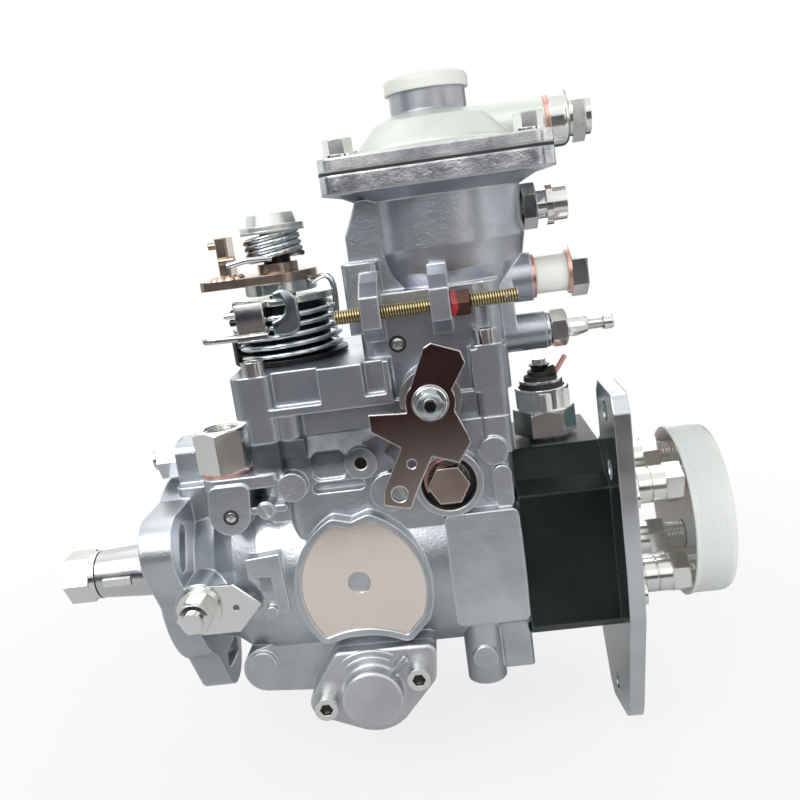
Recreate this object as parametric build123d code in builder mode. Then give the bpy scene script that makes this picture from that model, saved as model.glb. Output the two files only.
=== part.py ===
from build123d import *
import os
from math import cos, pi, radians, sin

os.makedirs("parts", exist_ok=True)

# Frame: X runs along the drive shaft from the driven end to the outlets, Z is up,
# and the origin is on the shaft axis at the front face of the mounting flange.
# All sizes are in millimetres. NEAR is the side with the stop lever, which is -Y.
ALONG = Plane.YZ
NEAR = Plane.XZ
UP = Plane.XY

# Clearances
run_gap = 0.05
seat_gap = 0.05
free_gap = 0.3
face_gap = 0.1
hole_gap = 0.2

# Mounting flange and pilot
flange_t = 14
flange_web_r = 44
lobe_circle_r = 48
lobe_r = 15
lobe_angles = (30, 150, 270)
slot_w = 9
slot_sweep = 14
pilot_r = 25
pilot_len = 8

# Barrel of the housing, drawn about the shaft axis
neck_r = 34
barrel_r = 47
barrel_start_x = 46
barrel_end_x = 159
barrel_bore_r = 36.5
pump_pocket_r = 33
pump_pocket_x = 33
gear_room_x = 54

# Governor chamber above the barrel
chamber_x0 = 50
chamber_x1 = barrel_end_x
chamber_half_w = 42
chamber_wall = 7
joint_z = 65.5
deck_z = 52.5
deck_t = 5.5
deck_x0 = 27
deck_x1 = 64
deck_half_w = 44
governor_z = 54
governor_boss_x = 8

# Drive shaft
shaft_r = 12.5
taper_end_r = 11.2
taper_start_x = -20
taper_end_x = -42
shaft_thread_r = 7
shaft_end_x = -59
shaft_nut_af = 22
shaft_nut_h = 12
nut_face_r = 11.5
key_x = -31
key_len = 14
key_w = 4
key_depth = 3.5
bush_wall = 2.5
bush_x0 = 9
bush_x1 = pump_pocket_x
jaw_disc_x = 70
jaw_disc_t = 6
jaw_disc_r = 22
jaw_w = 12
jaw_inner_r = 10
coupling_x0 = 82
coupling_t = 10
coupling_r = 23

# Vane feed pump
liner_t = 14
liner_wall_offset = 2
rotor_r = 22
liner_bore_r = 25.5
vane_t = 3
vane_count = 4
plate_t = 4

# Gears: the drive gear turns the governor faster than the shaft
drive_teeth = 37
governor_teeth = 23
gear_x0 = 57
gear_t = 8

# Roller ring, cam plate and plunger
timing_x = 88
ring_x0 = 84.5
ring_t = 15
ring_inner_r = 24.5
roller_r = 6
roller_len = 9
roller_count = 4
cam_lift = 2.8
cam_r = 34
cam_t = 5.5
plunger_r = 5.5
foot_r = 9
foot_t = 4
collar_r = 12
collar_len = 12
collar_x = 134
spring_bridge_t = 3
plunger_spring_y = 21
plunger_spring_r = 5
plunger_spring_turns = 5
internal_wire = 2
wire_sides = 6

# Distributor head, plate and outlets
head_x0 = barrel_end_x
head_x1 = 197
head_half_w = 44
head_low_z = -36
head_top_z = 45
spigot_len = 9
plunger_barrel_r = 10.5
plunger_barrel_x0 = 143
outlet_offset = 21
outlet_thread_r = 7
outlet_tube_r = 8
outlet_hex_af = 16
outlet_hex_x = 223.5
outlet_hex_h = 8
outlet_tip_r = 6
outlet_grooves = (211, 217)
outlet_end_x = 241
valve_r = 3.5
valve_travel = 2
bracket_t = 6.5
bracket_hole_r = 4.5
bracket_holes = [(-48, 63), (-48, 39), (-18, -74)]
bracket_outline = [(-66, 66), (-62, 73), (-36, 74), (-30, 68), (-30, 48), (0, 36), (44, 34), (44, -30),
                   (16, -62), (2, -84), (-6, -88), (-38, -80), (-43, -74), (-64, -20), (-66, 0)]
cup_r = 39
cup_wall = 1.5
cup_x0 = 232
cup_x1 = 250

# Governor
governor_shaft_r = 5
cage_r = 22
flyweight_pivot_r = 16
flyweight_len = 12
toe_reach = 9
sleeve_x0 = 82
sleeve_x1 = 108
sleeve_r = 8.5
lever_pivot_z = 26
lever_w = 12
lever_pivot_y = 40
ball_r = 2.5
ball_z = 10

# Timing device
timing_z = -47.5
piston_r = 10
piston_near_y = 24
piston_far_y = 34
timing_boss_r = 17
timing_half_w = 46
timing_flange_t = 6
timing_travel = 6
timing_screw_x = 20.5
timing_screw_low = 2.5
timing_screw_high = 7

# Governor cover and boost compensator
cover_x0 = 46
cover_x1 = 162
cover_half_w = 43
cover_low_z = 76
cover_step_x = 102
cover_skirt_half_w = 37
cover_top_z = 94
block_top_z = 120
block_half_w = 34
cover_wall = 5
control_x = 67
control_shaft_r = 6
tower_x = 142
tower_r = 35
parting_z = 168.7
lower_flange_t = 7.5
upper_flange_t = 6.5
boost_side = 92.6
boost_screw_inset = 9
dome_base_r = 34.5
dome_top_z = 191
nose_r = 16.3
nose_top_z = 201
diaphragm_t = 1.2
boost_plate_r = 26
boost_pin_r = 6
boost_travel = 6

# Control lever stack
spring_drum_r = 21
control_spring_r = 23.5
control_spring_turns = 5
control_wire = 2.8
upper_spring_turns = 4

# Stop lever
stop_x = 128.4
stop_z = 77.5
stop_shaft_r = 4.5
stop_lever_t = 3
stop_lever_y = 54
stop_boss_r = 11.9
stop_boss_face = 47
stop_neck_face = 50

# Fuel fittings and screws
inlet_x = 36.5
inlet_y = -30
inlet_thread_r = 7
inlet_thread_len = 16
inlet_top_z = 72
inlet_af = 22
washer_t = 1.2
inlet_seat_r = 6.5
m6_r = 3
head_r = 5
head_h = 6
socket_af = 5
socket_depth = 3
solenoid_x = 177
solenoid_y = -5
return_y = -8
return_z = 117
full_load_y = -14
full_load_z = 94
full_load_r = 4
full_load_face = 180.5
speed_screw_y = -46
speed_screw_z = 114


def bar(plane, start, end, radius, centre=(0, 0), mode=Mode.ADD):
    """Adds or cuts a round bar in the open part, between two distances from a plane."""
    with BuildSketch(plane.offset(start)) as outline:
        with Locations(centre):
            Circle(radius)
    extrude(outline.sketch, amount=end - start, mode=mode)


def hexagon(plane, start, end, flats, centre=(0, 0), turn=0, mode=Mode.ADD):
    """Adds or cuts a hexagonal bar of a given width across its flats."""
    with BuildSketch(plane.offset(start)) as outline:
        with Locations(centre):
            RegularPolygon(flats / 2, 6, major_radius=False, rotation=turn)
    extrude(outline.sketch, amount=end - start, mode=mode)


def block(plane, start, end, width, height, centre=(0, 0), corner=0, mode=Mode.ADD):
    """Adds or cuts a block with its corners rounded when a radius is given."""
    with BuildSketch(plane.offset(start)) as outline:
        with Locations(centre):
            if corner:
                RectangleRounded(width, height, corner)
            else:
                Rectangle(width, height)
    extrude(outline.sketch, amount=end - start, mode=mode)


def prism(plane, start, end, points, mode=Mode.ADD):
    """Adds or cuts a straight-sided outline."""
    with BuildSketch(plane.offset(start)) as outline:
        Polygon(*points, align=None)
    extrude(outline.sketch, amount=end - start, mode=mode)


def hull(plane, start, end, circles, mode=Mode.ADD):
    """Adds or cuts the outline stretched round a few circles, each (x, y, radius)."""
    with BuildSketch(plane.offset(start)) as outline:
        for x, y, radius in circles:
            with Locations((x, y)):
                Circle(radius)
        make_hull()
    extrude(outline.sketch, amount=end - start, mode=mode)


def spring(axis_start, axis_dir, radius, length, turns, wire, facing):
    """Winds a coil spring round an axis, with its wire ends in the given direction."""
    frame = Plane(origin=axis_start, x_dir=facing, z_dir=axis_dir)
    pitch = (length - wire) / turns
    path = frame * Pos(0, 0, wire / 2) * Helix(pitch, length - wire, radius)
    profile = Plane(origin=path @ 0, z_dir=path % 0) * RegularPolygon(wire / 2, wire_sides)
    return sweep(profile, path=path, is_frenet=True)


def polar(radius, angle, centre=(0, 0)):
    """The point at a radius and an angle in degrees."""
    return (centre[0] + radius * cos(radians(angle)), centre[1] + radius * sin(radians(angle)))


# Gear sizes from the distance between the shaft and the governor shaft
gear_module = 2 * governor_z / (drive_teeth + governor_teeth)
gear_backlash = 0.25


def gear_outline(teeth, first_angle):
    """Points of a straight-flanked gear, one tooth centred on the first angle."""
    pitch_r = gear_module * teeth / 2
    root_r = pitch_r - 1.15 * gear_module
    tip_r = pitch_r + 0.85 * gear_module
    step = 360 / teeth
    root_half = 0.34 * step
    tip_half = 0.12 * step
    slack = gear_backlash / pitch_r * 180 / pi
    points = []
    for tooth in range(teeth):
        middle = first_angle + tooth * step
        points.append(polar(root_r, middle - root_half + slack))
        points.append(polar(tip_r, middle - tip_half))
        points.append(polar(tip_r, middle + tip_half))
        points.append(polar(root_r, middle + root_half - slack))
    return points


# Screw places shared by the castings they join
head_screw_y = 37
head_screw_z = 22
head_screws = [(y, z) for y in (-head_screw_y, head_screw_y) for z in (-head_screw_z, head_screw_z)]
screw_depth = 12
boost_reach = boost_side / 2 - boost_screw_inset
boost_corners = [(tower_x + x, y) for x in (-boost_reach, boost_reach) for y in (-boost_reach, boost_reach)]
vent_x = tower_x + tower_r - 1
vent_z = 146.5
cover_screw_y = chamber_half_w - 3.4
column_w = 13
column_t = 2 * (cover_half_w - cover_screw_y)
post_y = 36
cover_screws = [(x, y, top) for x, top in ((57, cover_top_z), (153.5, cover_top_z + 1.5))
                for y in (-cover_screw_y, cover_screw_y)]
post_x = 67.4
post_r = 6.3
timing_screws = [(timing_x - timing_screw_x, timing_z - timing_screw_low),
                 (timing_x + timing_screw_x, timing_z + timing_screw_high)]
timing_outline = [(timing_x, timing_z, 18), (timing_x - 12, -31.5, 4), (timing_x + 25, -32, 4)]
timing_outline += [(x, z, 7.5) for x, z in timing_screws]

# Housing: flange, neck, barrel, governor chamber, bosses and the timing bore
lobe_points = [polar(lobe_circle_r, angle) for angle in lobe_angles]
lock_x = 19.5
lock_z = -1
lock_face = 50
lock_boss_r = 11
pad_x0 = 127.5
pad_x1 = 158.5
pad_z0 = -23
pad_z1 = 27
pad_face = 48.5
plug_x = 131.4
plug_z = 41
plug_face = 49
plug_well_r = 11.5
plug_well_depth = 5
plug_r = 8
plate_face = barrel_r + 0.3
plate_rim = 3
plate_rim_face = plate_face + 1.6
plate_hole = (88.4, 2)
plate_hole_r = 4.8
side_plate_t = 0.8
with BuildSketch(NEAR) as plate_outline:
    with BuildLine():
        ThreePointArc((71, -21.7), (63.8, 3), (81, 28.5))
        Polyline((81, 28.5), (88.7, 26.2), (96.2, 28.8))
        ThreePointArc((96.2, 28.8), (115.6, 4.5), (113.4, -16.4))
        Line((113.4, -16.4), (105.7, -24))
        ThreePointArc((105.7, -24), (87, -19), (71, -21.7))
    make_face()
    fillet(plate_outline.vertices(), 1.5)


def plate_prism(start, end, grow=0, mode=Mode.ADD):
    """Adds or cuts the outline of the side plate, grown all round by some amount."""
    with BuildSketch(NEAR.offset(start)) as outline:
        add(plate_outline.sketch_local)
        if grow:
            offset(amount=grow)
    extrude(outline.sketch, amount=end - start, mode=mode)


wall_start = 30
near_bosses = [(66.5, 46.5, 6.2, 47), (151.3, 51.4, 6, 45), (53.6, 37.3, 4, 45), (38.9, -36.2, 6, 39.5)]
screw_boss = (96.3, 53.3)
screw_boss_r = 6.8
stud_disc = (111.7, 39.2)
hang_pad = [(38, 37, 8.8), (34, 46, 4), (44, 46, 4)]
fork_rib = [(42, 18), (56.5, 19), (57.5, -7), (52.5, -8), (51.5, 9), (42, 10)]
wing_pad = [(98, 62), (104, 64.5), (111, 61), (106.5, 56.5), (110, 50), (104, 46), (98, 46)]
top_slope = [(-chamber_half_w - 1, 57), (-chamber_half_w - 1, joint_z), (-cover_skirt_half_w - 0.5, joint_z),
             (-chamber_half_w, 57)]
foot_x = 137.5
foot_y = 31
foot_r = 8.7
foot_low_z = -56
sump = [(39.5, -39.5, 10.5), (58, -41, 10.5), (timing_x, -34, 18)]
sump_half_w = 37

with BuildPart() as pump_housing:
    hull(ALONG, 0, flange_t, [(y, z, lobe_r) for y, z in lobe_points])
    bar(ALONG, 0, flange_t, flange_web_r)
    bar(ALONG, -pilot_len, 0, pilot_r)
    with BuildSketch(Plane.XZ):
        with BuildLine():
            Polyline((flange_t, 0), (flange_t, neck_r), (24, 36), (34, 43),
                     (barrel_start_x, barrel_r), (barrel_end_x, barrel_r), (barrel_end_x, 0),
                     (flange_t, 0))
        make_face()
    revolve(axis=Axis.X)
    # Governor chamber, stepped back at its driven end under the cover and the deck
    block(UP, 0, joint_z, chamber_x1 - chamber_x0, 2 * cover_skirt_half_w,
          ((chamber_x0 + chamber_x1) / 2, 0), 6)
    block(UP, 0, joint_z, chamber_x1 - deck_x1 + 2, 2 * chamber_half_w,
          ((deck_x1 - 2 + chamber_x1) / 2, 0), 6)
    block(UP, deck_z - deck_t, deck_z, deck_x1 - deck_x0, 2 * deck_half_w,
          ((deck_x0 + deck_x1) / 2, 0), 8)
    block(UP, 20, deck_z - 1, deck_x1 - deck_x0 - 4, 2 * (deck_half_w - 7), ((deck_x0 + deck_x1) / 2, 0), 8)
    block(UP, 18, 44, 22, 40, (19, 0), 4)
    block(ALONG, governor_boss_x, chamber_x0 + 4, 24, 32, (0, 46), 5)
    for side in (1, -1):
        hull(NEAR, side * wall_start, side * 45.5, hang_pad)
    hull(NEAR, -sump_half_w, sump_half_w, sump)
    bar(NEAR, -timing_half_w, timing_half_w, timing_boss_r, (timing_x, timing_z))
    for side in (-timing_half_w, timing_half_w - 10):
        hull(NEAR, side, side + 10, timing_outline)
    for x, y, top in cover_screws:
        block(UP, joint_z - 16, joint_z, column_w, column_t, (x, y), 3)
    for y in (-post_y, post_y):
        bar(UP, joint_z - 8, joint_z, post_r, (post_x, y))
    # Raised pads, bosses and ribs of the near side
    block(NEAR, wall_start, pad_face, pad_x1 - pad_x0, pad_z1 - pad_z0,
          ((pad_x0 + pad_x1) / 2, (pad_z0 + pad_z1) / 2), 3)
    bar(NEAR, wall_start, plug_face, plug_well_r + 2.8, (plug_x, plug_z))
    bar(NEAR, wall_start, lock_face, lock_boss_r, (lock_x, lock_z))
    prism(NEAR, 38, 49, fork_rib)
    bar(NEAR, 38, 49.5, 2.8, (49.5, -7))
    plate_prism(wall_start, plate_rim_face, plate_rim)
    for x, z, radius, face in near_bosses:
        bar(NEAR, wall_start, face, radius, (x, z))
    hull(NEAR, wall_start, 44, [(47, 37.3, 1.6), (61, 37.3, 1.6)])
    hull(NEAR, wall_start, 45, [(153.5, 30, 4), (153.5, 41, 4)])
    prism(NEAR, 38, 44.5, wing_pad)
    bar(NEAR, 36, 46.5, screw_boss_r, screw_boss)
    bar(NEAR, 36, 46, 8.5, (stud_disc[0] - 4.9, stud_disc[1]))
    bar(NEAR, 36, 47, 5.4, stud_disc)
    for side in (-1, 1):
        bar(UP, foot_low_z, -25, foot_r, (foot_x, side * foot_y))
        block(UP, -51, -30, 14, 12, (152, side * 30), 2)
    bar(NEAR, foot_y, foot_y + foot_r + 0.8, 5.4, (foot_x, -43))
    # Cuts
    bar(ALONG, -pilot_len, bush_x0, 17, mode=Mode.SUBTRACT)
    bar(ALONG, bush_x0, bush_x1, shaft_r + run_gap + bush_wall + seat_gap, mode=Mode.SUBTRACT)
    bar(ALONG, pump_pocket_x, gear_room_x, pump_pocket_r, mode=Mode.SUBTRACT)
    bar(ALONG, gear_room_x, barrel_end_x, barrel_bore_r, mode=Mode.SUBTRACT)
    block(UP, 15, joint_z, chamber_x1 - gear_room_x - chamber_wall, 2 * (chamber_half_w - chamber_wall),
          ((gear_room_x + chamber_x1 - chamber_wall) / 2, 0), 4, mode=Mode.SUBTRACT)
    bar(ALONG, governor_boss_x, gear_room_x, governor_shaft_r + seat_gap, (0, governor_z),
        mode=Mode.SUBTRACT)
    bar(NEAR, -timing_half_w, timing_half_w, piston_r + run_gap, (timing_x, timing_z),
        mode=Mode.SUBTRACT)
    block(UP, timing_z, -barrel_bore_r + 4, 10, 24, (timing_x, 0), mode=Mode.SUBTRACT)
    bar(NEAR, plug_face - plug_well_depth, plug_face, plug_well_r, (plug_x, plug_z), mode=Mode.SUBTRACT)
    bar(NEAR, wall_start, plug_face, plug_r + seat_gap, (plug_x, plug_z), mode=Mode.SUBTRACT)
    plate_prism(plate_face, plate_rim_face, seat_gap, mode=Mode.SUBTRACT)
    hull(NEAR, timing_half_w, timing_half_w + timing_flange_t + 1, timing_outline, mode=Mode.SUBTRACT)
    prism(ALONG, deck_x1 + 10, 103, top_slope, mode=Mode.SUBTRACT)
    block(NEAR, chamber_half_w - 2.5, chamber_half_w, 14, 12, (82.3, 52.5), 3, mode=Mode.SUBTRACT)
    block(NEAR, chamber_half_w - 5, chamber_half_w, 22, 4.5, (85.2, 43.3), 2, mode=Mode.SUBTRACT)
    bar(NEAR, chamber_half_w - 2, 46.5, 2.6, screw_boss, mode=Mode.SUBTRACT)
    block(NEAR, 46, 47, 1.4, 7, stud_disc, mode=Mode.SUBTRACT)
    bar(NEAR, -lever_pivot_y, lever_pivot_y, 3 + run_gap, (collar_x, lever_pivot_z), mode=Mode.SUBTRACT)
    for y, z in head_screws:
        bar(ALONG, barrel_end_x - screw_depth, barrel_end_x, m6_r + seat_gap, (y, z), mode=Mode.SUBTRACT)
    for x, y, top in cover_screws:
        bar(UP, joint_z - screw_depth, joint_z, m6_r + seat_gap, (x, y), mode=Mode.SUBTRACT)
    for x, z in timing_screws:
        for side in (-timing_half_w, timing_half_w - screw_depth):
            bar(NEAR, side, side + screw_depth, m6_r + seat_gap, (x, z), mode=Mode.SUBTRACT)
    bar(NEAR, 20, lock_face, 4, (lock_x, lock_z), mode=Mode.SUBTRACT)
    bar(UP, deck_z - 12, deck_z, inlet_seat_r, (inlet_x, inlet_y), mode=Mode.SUBTRACT)
    for angle in lobe_angles:
        turns = [angle + part * slot_sweep / 2 for part in (-1, 0, 1)]
        ends = [polar(lobe_circle_r, turn) for turn in turns]
        hull(ALONG, -1, flange_t + 1, [(y, z, slot_w / 2) for y, z in ends], mode=Mode.SUBTRACT)
pump_housing.part.label = "pump_housing"
export_step(pump_housing.part, "parts/pump_housing.step")

# Shaft line
bush_r = shaft_r + run_gap + bush_wall
jaw_tip_r = jaw_disc_r
jaw_end_x = coupling_x0 + coupling_t - 1.5
with BuildPart() as drive_shaft:
    with BuildSketch(Plane.XZ):
        with BuildLine():
            Polyline((shaft_end_x, 0), (shaft_end_x, shaft_thread_r - 1), (shaft_end_x + 1, shaft_thread_r),
                     (taper_end_x, shaft_thread_r), (taper_end_x, taper_end_r), (taper_start_x, shaft_r),
                     (jaw_disc_x, shaft_r), (jaw_disc_x, jaw_disc_r),
                     (jaw_disc_x + jaw_disc_t, jaw_disc_r), (jaw_disc_x + jaw_disc_t, 0),
                     (shaft_end_x, 0))
        make_face()
    revolve(axis=Axis.X)
    for side in (1, -1):
        block(ALONG, jaw_disc_x + jaw_disc_t, jaw_end_x, jaw_w, jaw_tip_r - jaw_inner_r - 1,
              (0, side * (jaw_tip_r + jaw_inner_r - 1) / 2))
    block(NEAR, taper_end_r - key_depth, shaft_r, key_len, key_w, (key_x, 0), mode=Mode.SUBTRACT)
drive_shaft.part.label = "drive_shaft"
export_step(drive_shaft.part, "parts/drive_shaft.step")

nut_x1 = taper_end_x - 3.5
nut_back_x = taper_end_x - 0.5
with BuildPart() as shaft_nut:
    hexagon(ALONG, nut_x1 - shaft_nut_h, nut_x1, shaft_nut_af)
    bar(ALONG, nut_x1, nut_back_x, nut_face_r)
    bar(ALONG, nut_x1 - shaft_nut_h, nut_back_x, shaft_thread_r + seat_gap, mode=Mode.SUBTRACT)
    block(NEAR, taper_end_r - key_depth + seat_gap, taper_end_r + 1.6, key_len - 2 * hole_gap,
          key_w - hole_gap, (key_x, 0))
shaft_nut.part.label = "shaft_nut"
export_step(shaft_nut.part, "parts/shaft_nut.step")

with BuildPart() as shaft_bush:
    bar(ALONG, bush_x0, bush_x1, bush_r)
    bar(ALONG, bush_x0, bush_x1, shaft_r + run_gap, mode=Mode.SUBTRACT)
shaft_bush.part.label = "shaft_bush"
export_step(shaft_bush.part, "parts/shaft_bush.step")

# Vane feed pump: ring with an offset bore, slotted rotor, vanes and cover plate
liner_x1 = pump_pocket_x + liner_t
with BuildPart() as feed_pump_liner:
    bar(ALONG, pump_pocket_x, liner_x1, pump_pocket_r - seat_gap)
    bar(ALONG, pump_pocket_x, liner_x1, liner_bore_r, (0, liner_wall_offset), mode=Mode.SUBTRACT)
    bar(ALONG, liner_x1, liner_x1 + plate_t, pump_pocket_r - seat_gap)
    bar(ALONG, liner_x1, liner_x1 + plate_t, shaft_r + free_gap, mode=Mode.SUBTRACT)
    for angle in (45, 225):
        with BuildSketch(ALONG.offset(liner_x1)) as port:
            SlotArc(CenterArc((0, 0), 21, angle - 20, 40), 4)
        extrude(port.sketch, amount=plate_t, mode=Mode.SUBTRACT)
feed_pump_liner.part.label = "feed_pump_liner"
export_step(feed_pump_liner.part, "parts/feed_pump_liner.step")

vane_reach = liner_bore_r - liner_wall_offset - free_gap
vane_depth = 7
vane_inner = rotor_r - vane_depth + seat_gap
with BuildPart() as feed_pump_rotor:
    bar(ALONG, pump_pocket_x + face_gap, liner_x1 - face_gap, rotor_r)
    bar(ALONG, pump_pocket_x, liner_x1, shaft_r + seat_gap, mode=Mode.SUBTRACT)
    with BuildSketch(ALONG.offset(pump_pocket_x)) as slots:
        with PolarLocations(rotor_r, vane_count):
            Rectangle(2 * vane_depth, vane_t + 2 * seat_gap)
    extrude(slots.sketch, amount=liner_t, mode=Mode.SUBTRACT)
    with BuildSketch(ALONG.offset(pump_pocket_x + face_gap)) as vanes:
        with PolarLocations((vane_inner + vane_reach) / 2, vane_count):
            Rectangle(vane_reach - vane_inner, vane_t)
    extrude(vanes.sketch, amount=liner_t - 2 * face_gap)
feed_pump_rotor.part.label = "feed_pump_rotor"
export_step(feed_pump_rotor.part, "parts/feed_pump_rotor.step")

with BuildPart() as drive_gear:
    prism(ALONG, gear_x0, gear_x0 + gear_t, gear_outline(drive_teeth, 90))
    bar(ALONG, gear_x0, gear_x0 + gear_t, shaft_r + seat_gap, mode=Mode.SUBTRACT)
drive_gear.part.label = "drive_gear"
export_step(drive_gear.part, "parts/drive_gear.step")

# Roller ring with its timing pin, and the rollers in their slots
ring_x1 = ring_x0 + ring_t
roller_x = ring_x1 - 2.2
roller_mid_r = 30.2
ball_joint_r = 4
with BuildPart() as roller_ring:
    bar(ALONG, ring_x0, ring_x1, barrel_bore_r - run_gap)
    bar(ALONG, ring_x0, ring_x1, ring_inner_r, mode=Mode.SUBTRACT)
    for number in range(roller_count):
        turn = 45 + number * 360 / roller_count
        seat = Plane(origin=(roller_x, *polar(roller_mid_r - roller_len / 2 - face_gap, turn)),
                     x_dir=(1, 0, 0), z_dir=(0, cos(radians(turn)), sin(radians(turn))))
        bar(seat, 0, roller_len + 2 * face_gap, roller_r + run_gap, mode=Mode.SUBTRACT)
    bar(UP, timing_z, 2 - barrel_bore_r, 3, (timing_x, 0))
    with Locations((timing_x, 0, timing_z)):
        Sphere(ball_joint_r)
    for number in range(roller_count):
        turn = 45 + number * 360 / roller_count
        seat = Plane(origin=(roller_x, *polar(roller_mid_r - roller_len / 2, turn)),
                     x_dir=(1, 0, 0), z_dir=(0, cos(radians(turn)), sin(radians(turn))))
        bar(seat, 0, roller_len, roller_r)
roller_ring.part.label = "roller_ring"
export_step(roller_ring.part, "parts/roller_ring.step")

# Cam plate with four lobes that pass just clear of the rollers
lobe_tip_x = roller_x + roller_r + free_gap
cam_x0 = lobe_tip_x + cam_lift
cam_x1 = cam_x0 + cam_t
cam_jaw_x = coupling_x0 + 1.5
with BuildPart() as cam_plate:
    bar(ALONG, cam_x0, cam_x1, cam_r)
    bar(ALONG, cam_x0 - cam_lift, cam_x0, 14)
    for number in range(4):
        turn = number * 90
        with BuildSketch(ALONG.offset(cam_x0)) as foot:
            SlotArc(CenterArc((0, 0), roller_mid_r - 1, turn - 22, 44), 7)
        with BuildSketch(ALONG.offset(lobe_tip_x)) as tip:
            SlotArc(CenterArc((0, 0), roller_mid_r - 1, turn - 8, 16), 6)
        loft([foot.sketch, tip.sketch])
    for side in (1, -1):
        block(ALONG, cam_jaw_x, cam_x0, jaw_tip_r - jaw_inner_r - 1, jaw_w,
              (side * (jaw_tip_r + jaw_inner_r - 1) / 2, 0))
    fillet(cam_plate.edges().filter_by(GeomType.CIRCLE).group_by(Axis.X)[-1], 0.8)
cam_plate.part.label = "cam_plate"
export_step(cam_plate.part, "parts/cam_plate.step")

with BuildPart() as cross_coupling:
    bar(ALONG, coupling_x0, coupling_x0 + coupling_t, coupling_r)
    with BuildSketch(ALONG.offset(coupling_x0)) as slots:
        with PolarLocations(coupling_r, 4):
            Rectangle(2 * (coupling_r - jaw_inner_r) + 3, jaw_w + 2 * face_gap)
    extrude(slots.sketch, amount=coupling_t, mode=Mode.SUBTRACT)
cross_coupling.part.label = "cross_coupling"
export_step(cross_coupling.part, "parts/cross_coupling.step")

plunger_x1 = head_x1 - 10
with BuildPart() as plunger:
    bar(ALONG, cam_x1, cam_x1 + foot_t, foot_r)
    bar(ALONG, cam_x1 + foot_t, plunger_x1, plunger_r)
    bar(ALONG, collar_x + 2, plunger_x1, 1, mode=Mode.SUBTRACT)
    block(NEAR, -plunger_r, plunger_r, 5, 2, (collar_x + 2, 0), mode=Mode.SUBTRACT)
plunger.part.label = "plunger"
export_step(plunger.part, "parts/plunger.step")

bridge_x0 = cam_x1 + foot_t + free_gap
bridge_x1 = bridge_x0 + spring_bridge_t
spring_end_x = head_x0 - spigot_len
plunger_coils = [spring((bridge_x1, side * plunger_spring_y, 0), (1, 0, 0), plunger_spring_r,
                        spring_end_x - bridge_x1, plunger_spring_turns, internal_wire, (0, 0, 1))
                 for side in (-1, 1)]
with BuildPart() as plunger_springs:
    hull(ALONG, bridge_x0, bridge_x1, [(-plunger_spring_y, 0, 8), (plunger_spring_y, 0, 8)])
    bar(ALONG, bridge_x0, bridge_x1, plunger_r + free_gap, mode=Mode.SUBTRACT)
    add(plunger_coils)
plunger_springs.part.label = "plunger_springs"
export_step(plunger_springs.part, "parts/plunger_springs.step")

with BuildPart() as control_collar:
    bar(ALONG, collar_x - collar_len / 2, collar_x + collar_len / 2, collar_r)
    bar(ALONG, collar_x - collar_len / 2, collar_x + collar_len / 2, plunger_r + run_gap, mode=Mode.SUBTRACT)
    bar(UP, plunger_r + 1.2, collar_r, ball_r + free_gap, (collar_x, 0), mode=Mode.SUBTRACT)
control_collar.part.label = "control_collar"
export_step(control_collar.part, "parts/control_collar.step")

# Distributor head with the barrel, outlets and the rear plate
outlets = [(y, z) for y in (-outlet_offset, outlet_offset) for z in (-outlet_offset, outlet_offset)]
valve_seat_x = head_x1 - 25
with BuildPart() as distributor_head:
    prism(ALONG, head_x0, head_x1, [(-head_half_w, head_low_z + 7), (-head_half_w + 8, head_low_z),
                                    (head_half_w - 8, head_low_z), (head_half_w, head_low_z + 7),
                                    (head_half_w, 30), (24, head_top_z), (-24, head_top_z),
                                    (-head_half_w + 9, 34), (-head_half_w, 30)])
    fillet(distributor_head.edges().filter_by(Axis.X), 2)
    bar(ALONG, spring_end_x, head_x0, barrel_bore_r - seat_gap)
    bar(ALONG, spring_end_x, head_x1, plunger_barrel_r + seat_gap, mode=Mode.SUBTRACT)
    bar(UP, head_top_z - 16, head_top_z, 8 + seat_gap, (solenoid_x, solenoid_y), mode=Mode.SUBTRACT)
    for y, z in outlets:
        bar(ALONG, valve_seat_x, head_x1, outlet_thread_r, (y, z), mode=Mode.SUBTRACT)
    for y, z in head_screws:
        bar(ALONG, head_x0, head_x1, m6_r + hole_gap, (y, z), mode=Mode.SUBTRACT)
    block(ALONG, spring_end_x, head_x0, 10, 30, (0, 33), mode=Mode.SUBTRACT)
distributor_head.part.label = "distributor_head"
export_step(distributor_head.part, "parts/distributor_head.step")

with BuildPart() as plunger_barrel:
    bar(ALONG, plunger_barrel_x0, head_x1 - 4, plunger_barrel_r)
    bar(ALONG, plunger_barrel_x0, head_x1 - 4, plunger_r + run_gap, mode=Mode.SUBTRACT)
plunger_barrel.part.label = "plunger_barrel"
export_step(plunger_barrel.part, "parts/plunger_barrel.step")

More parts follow.
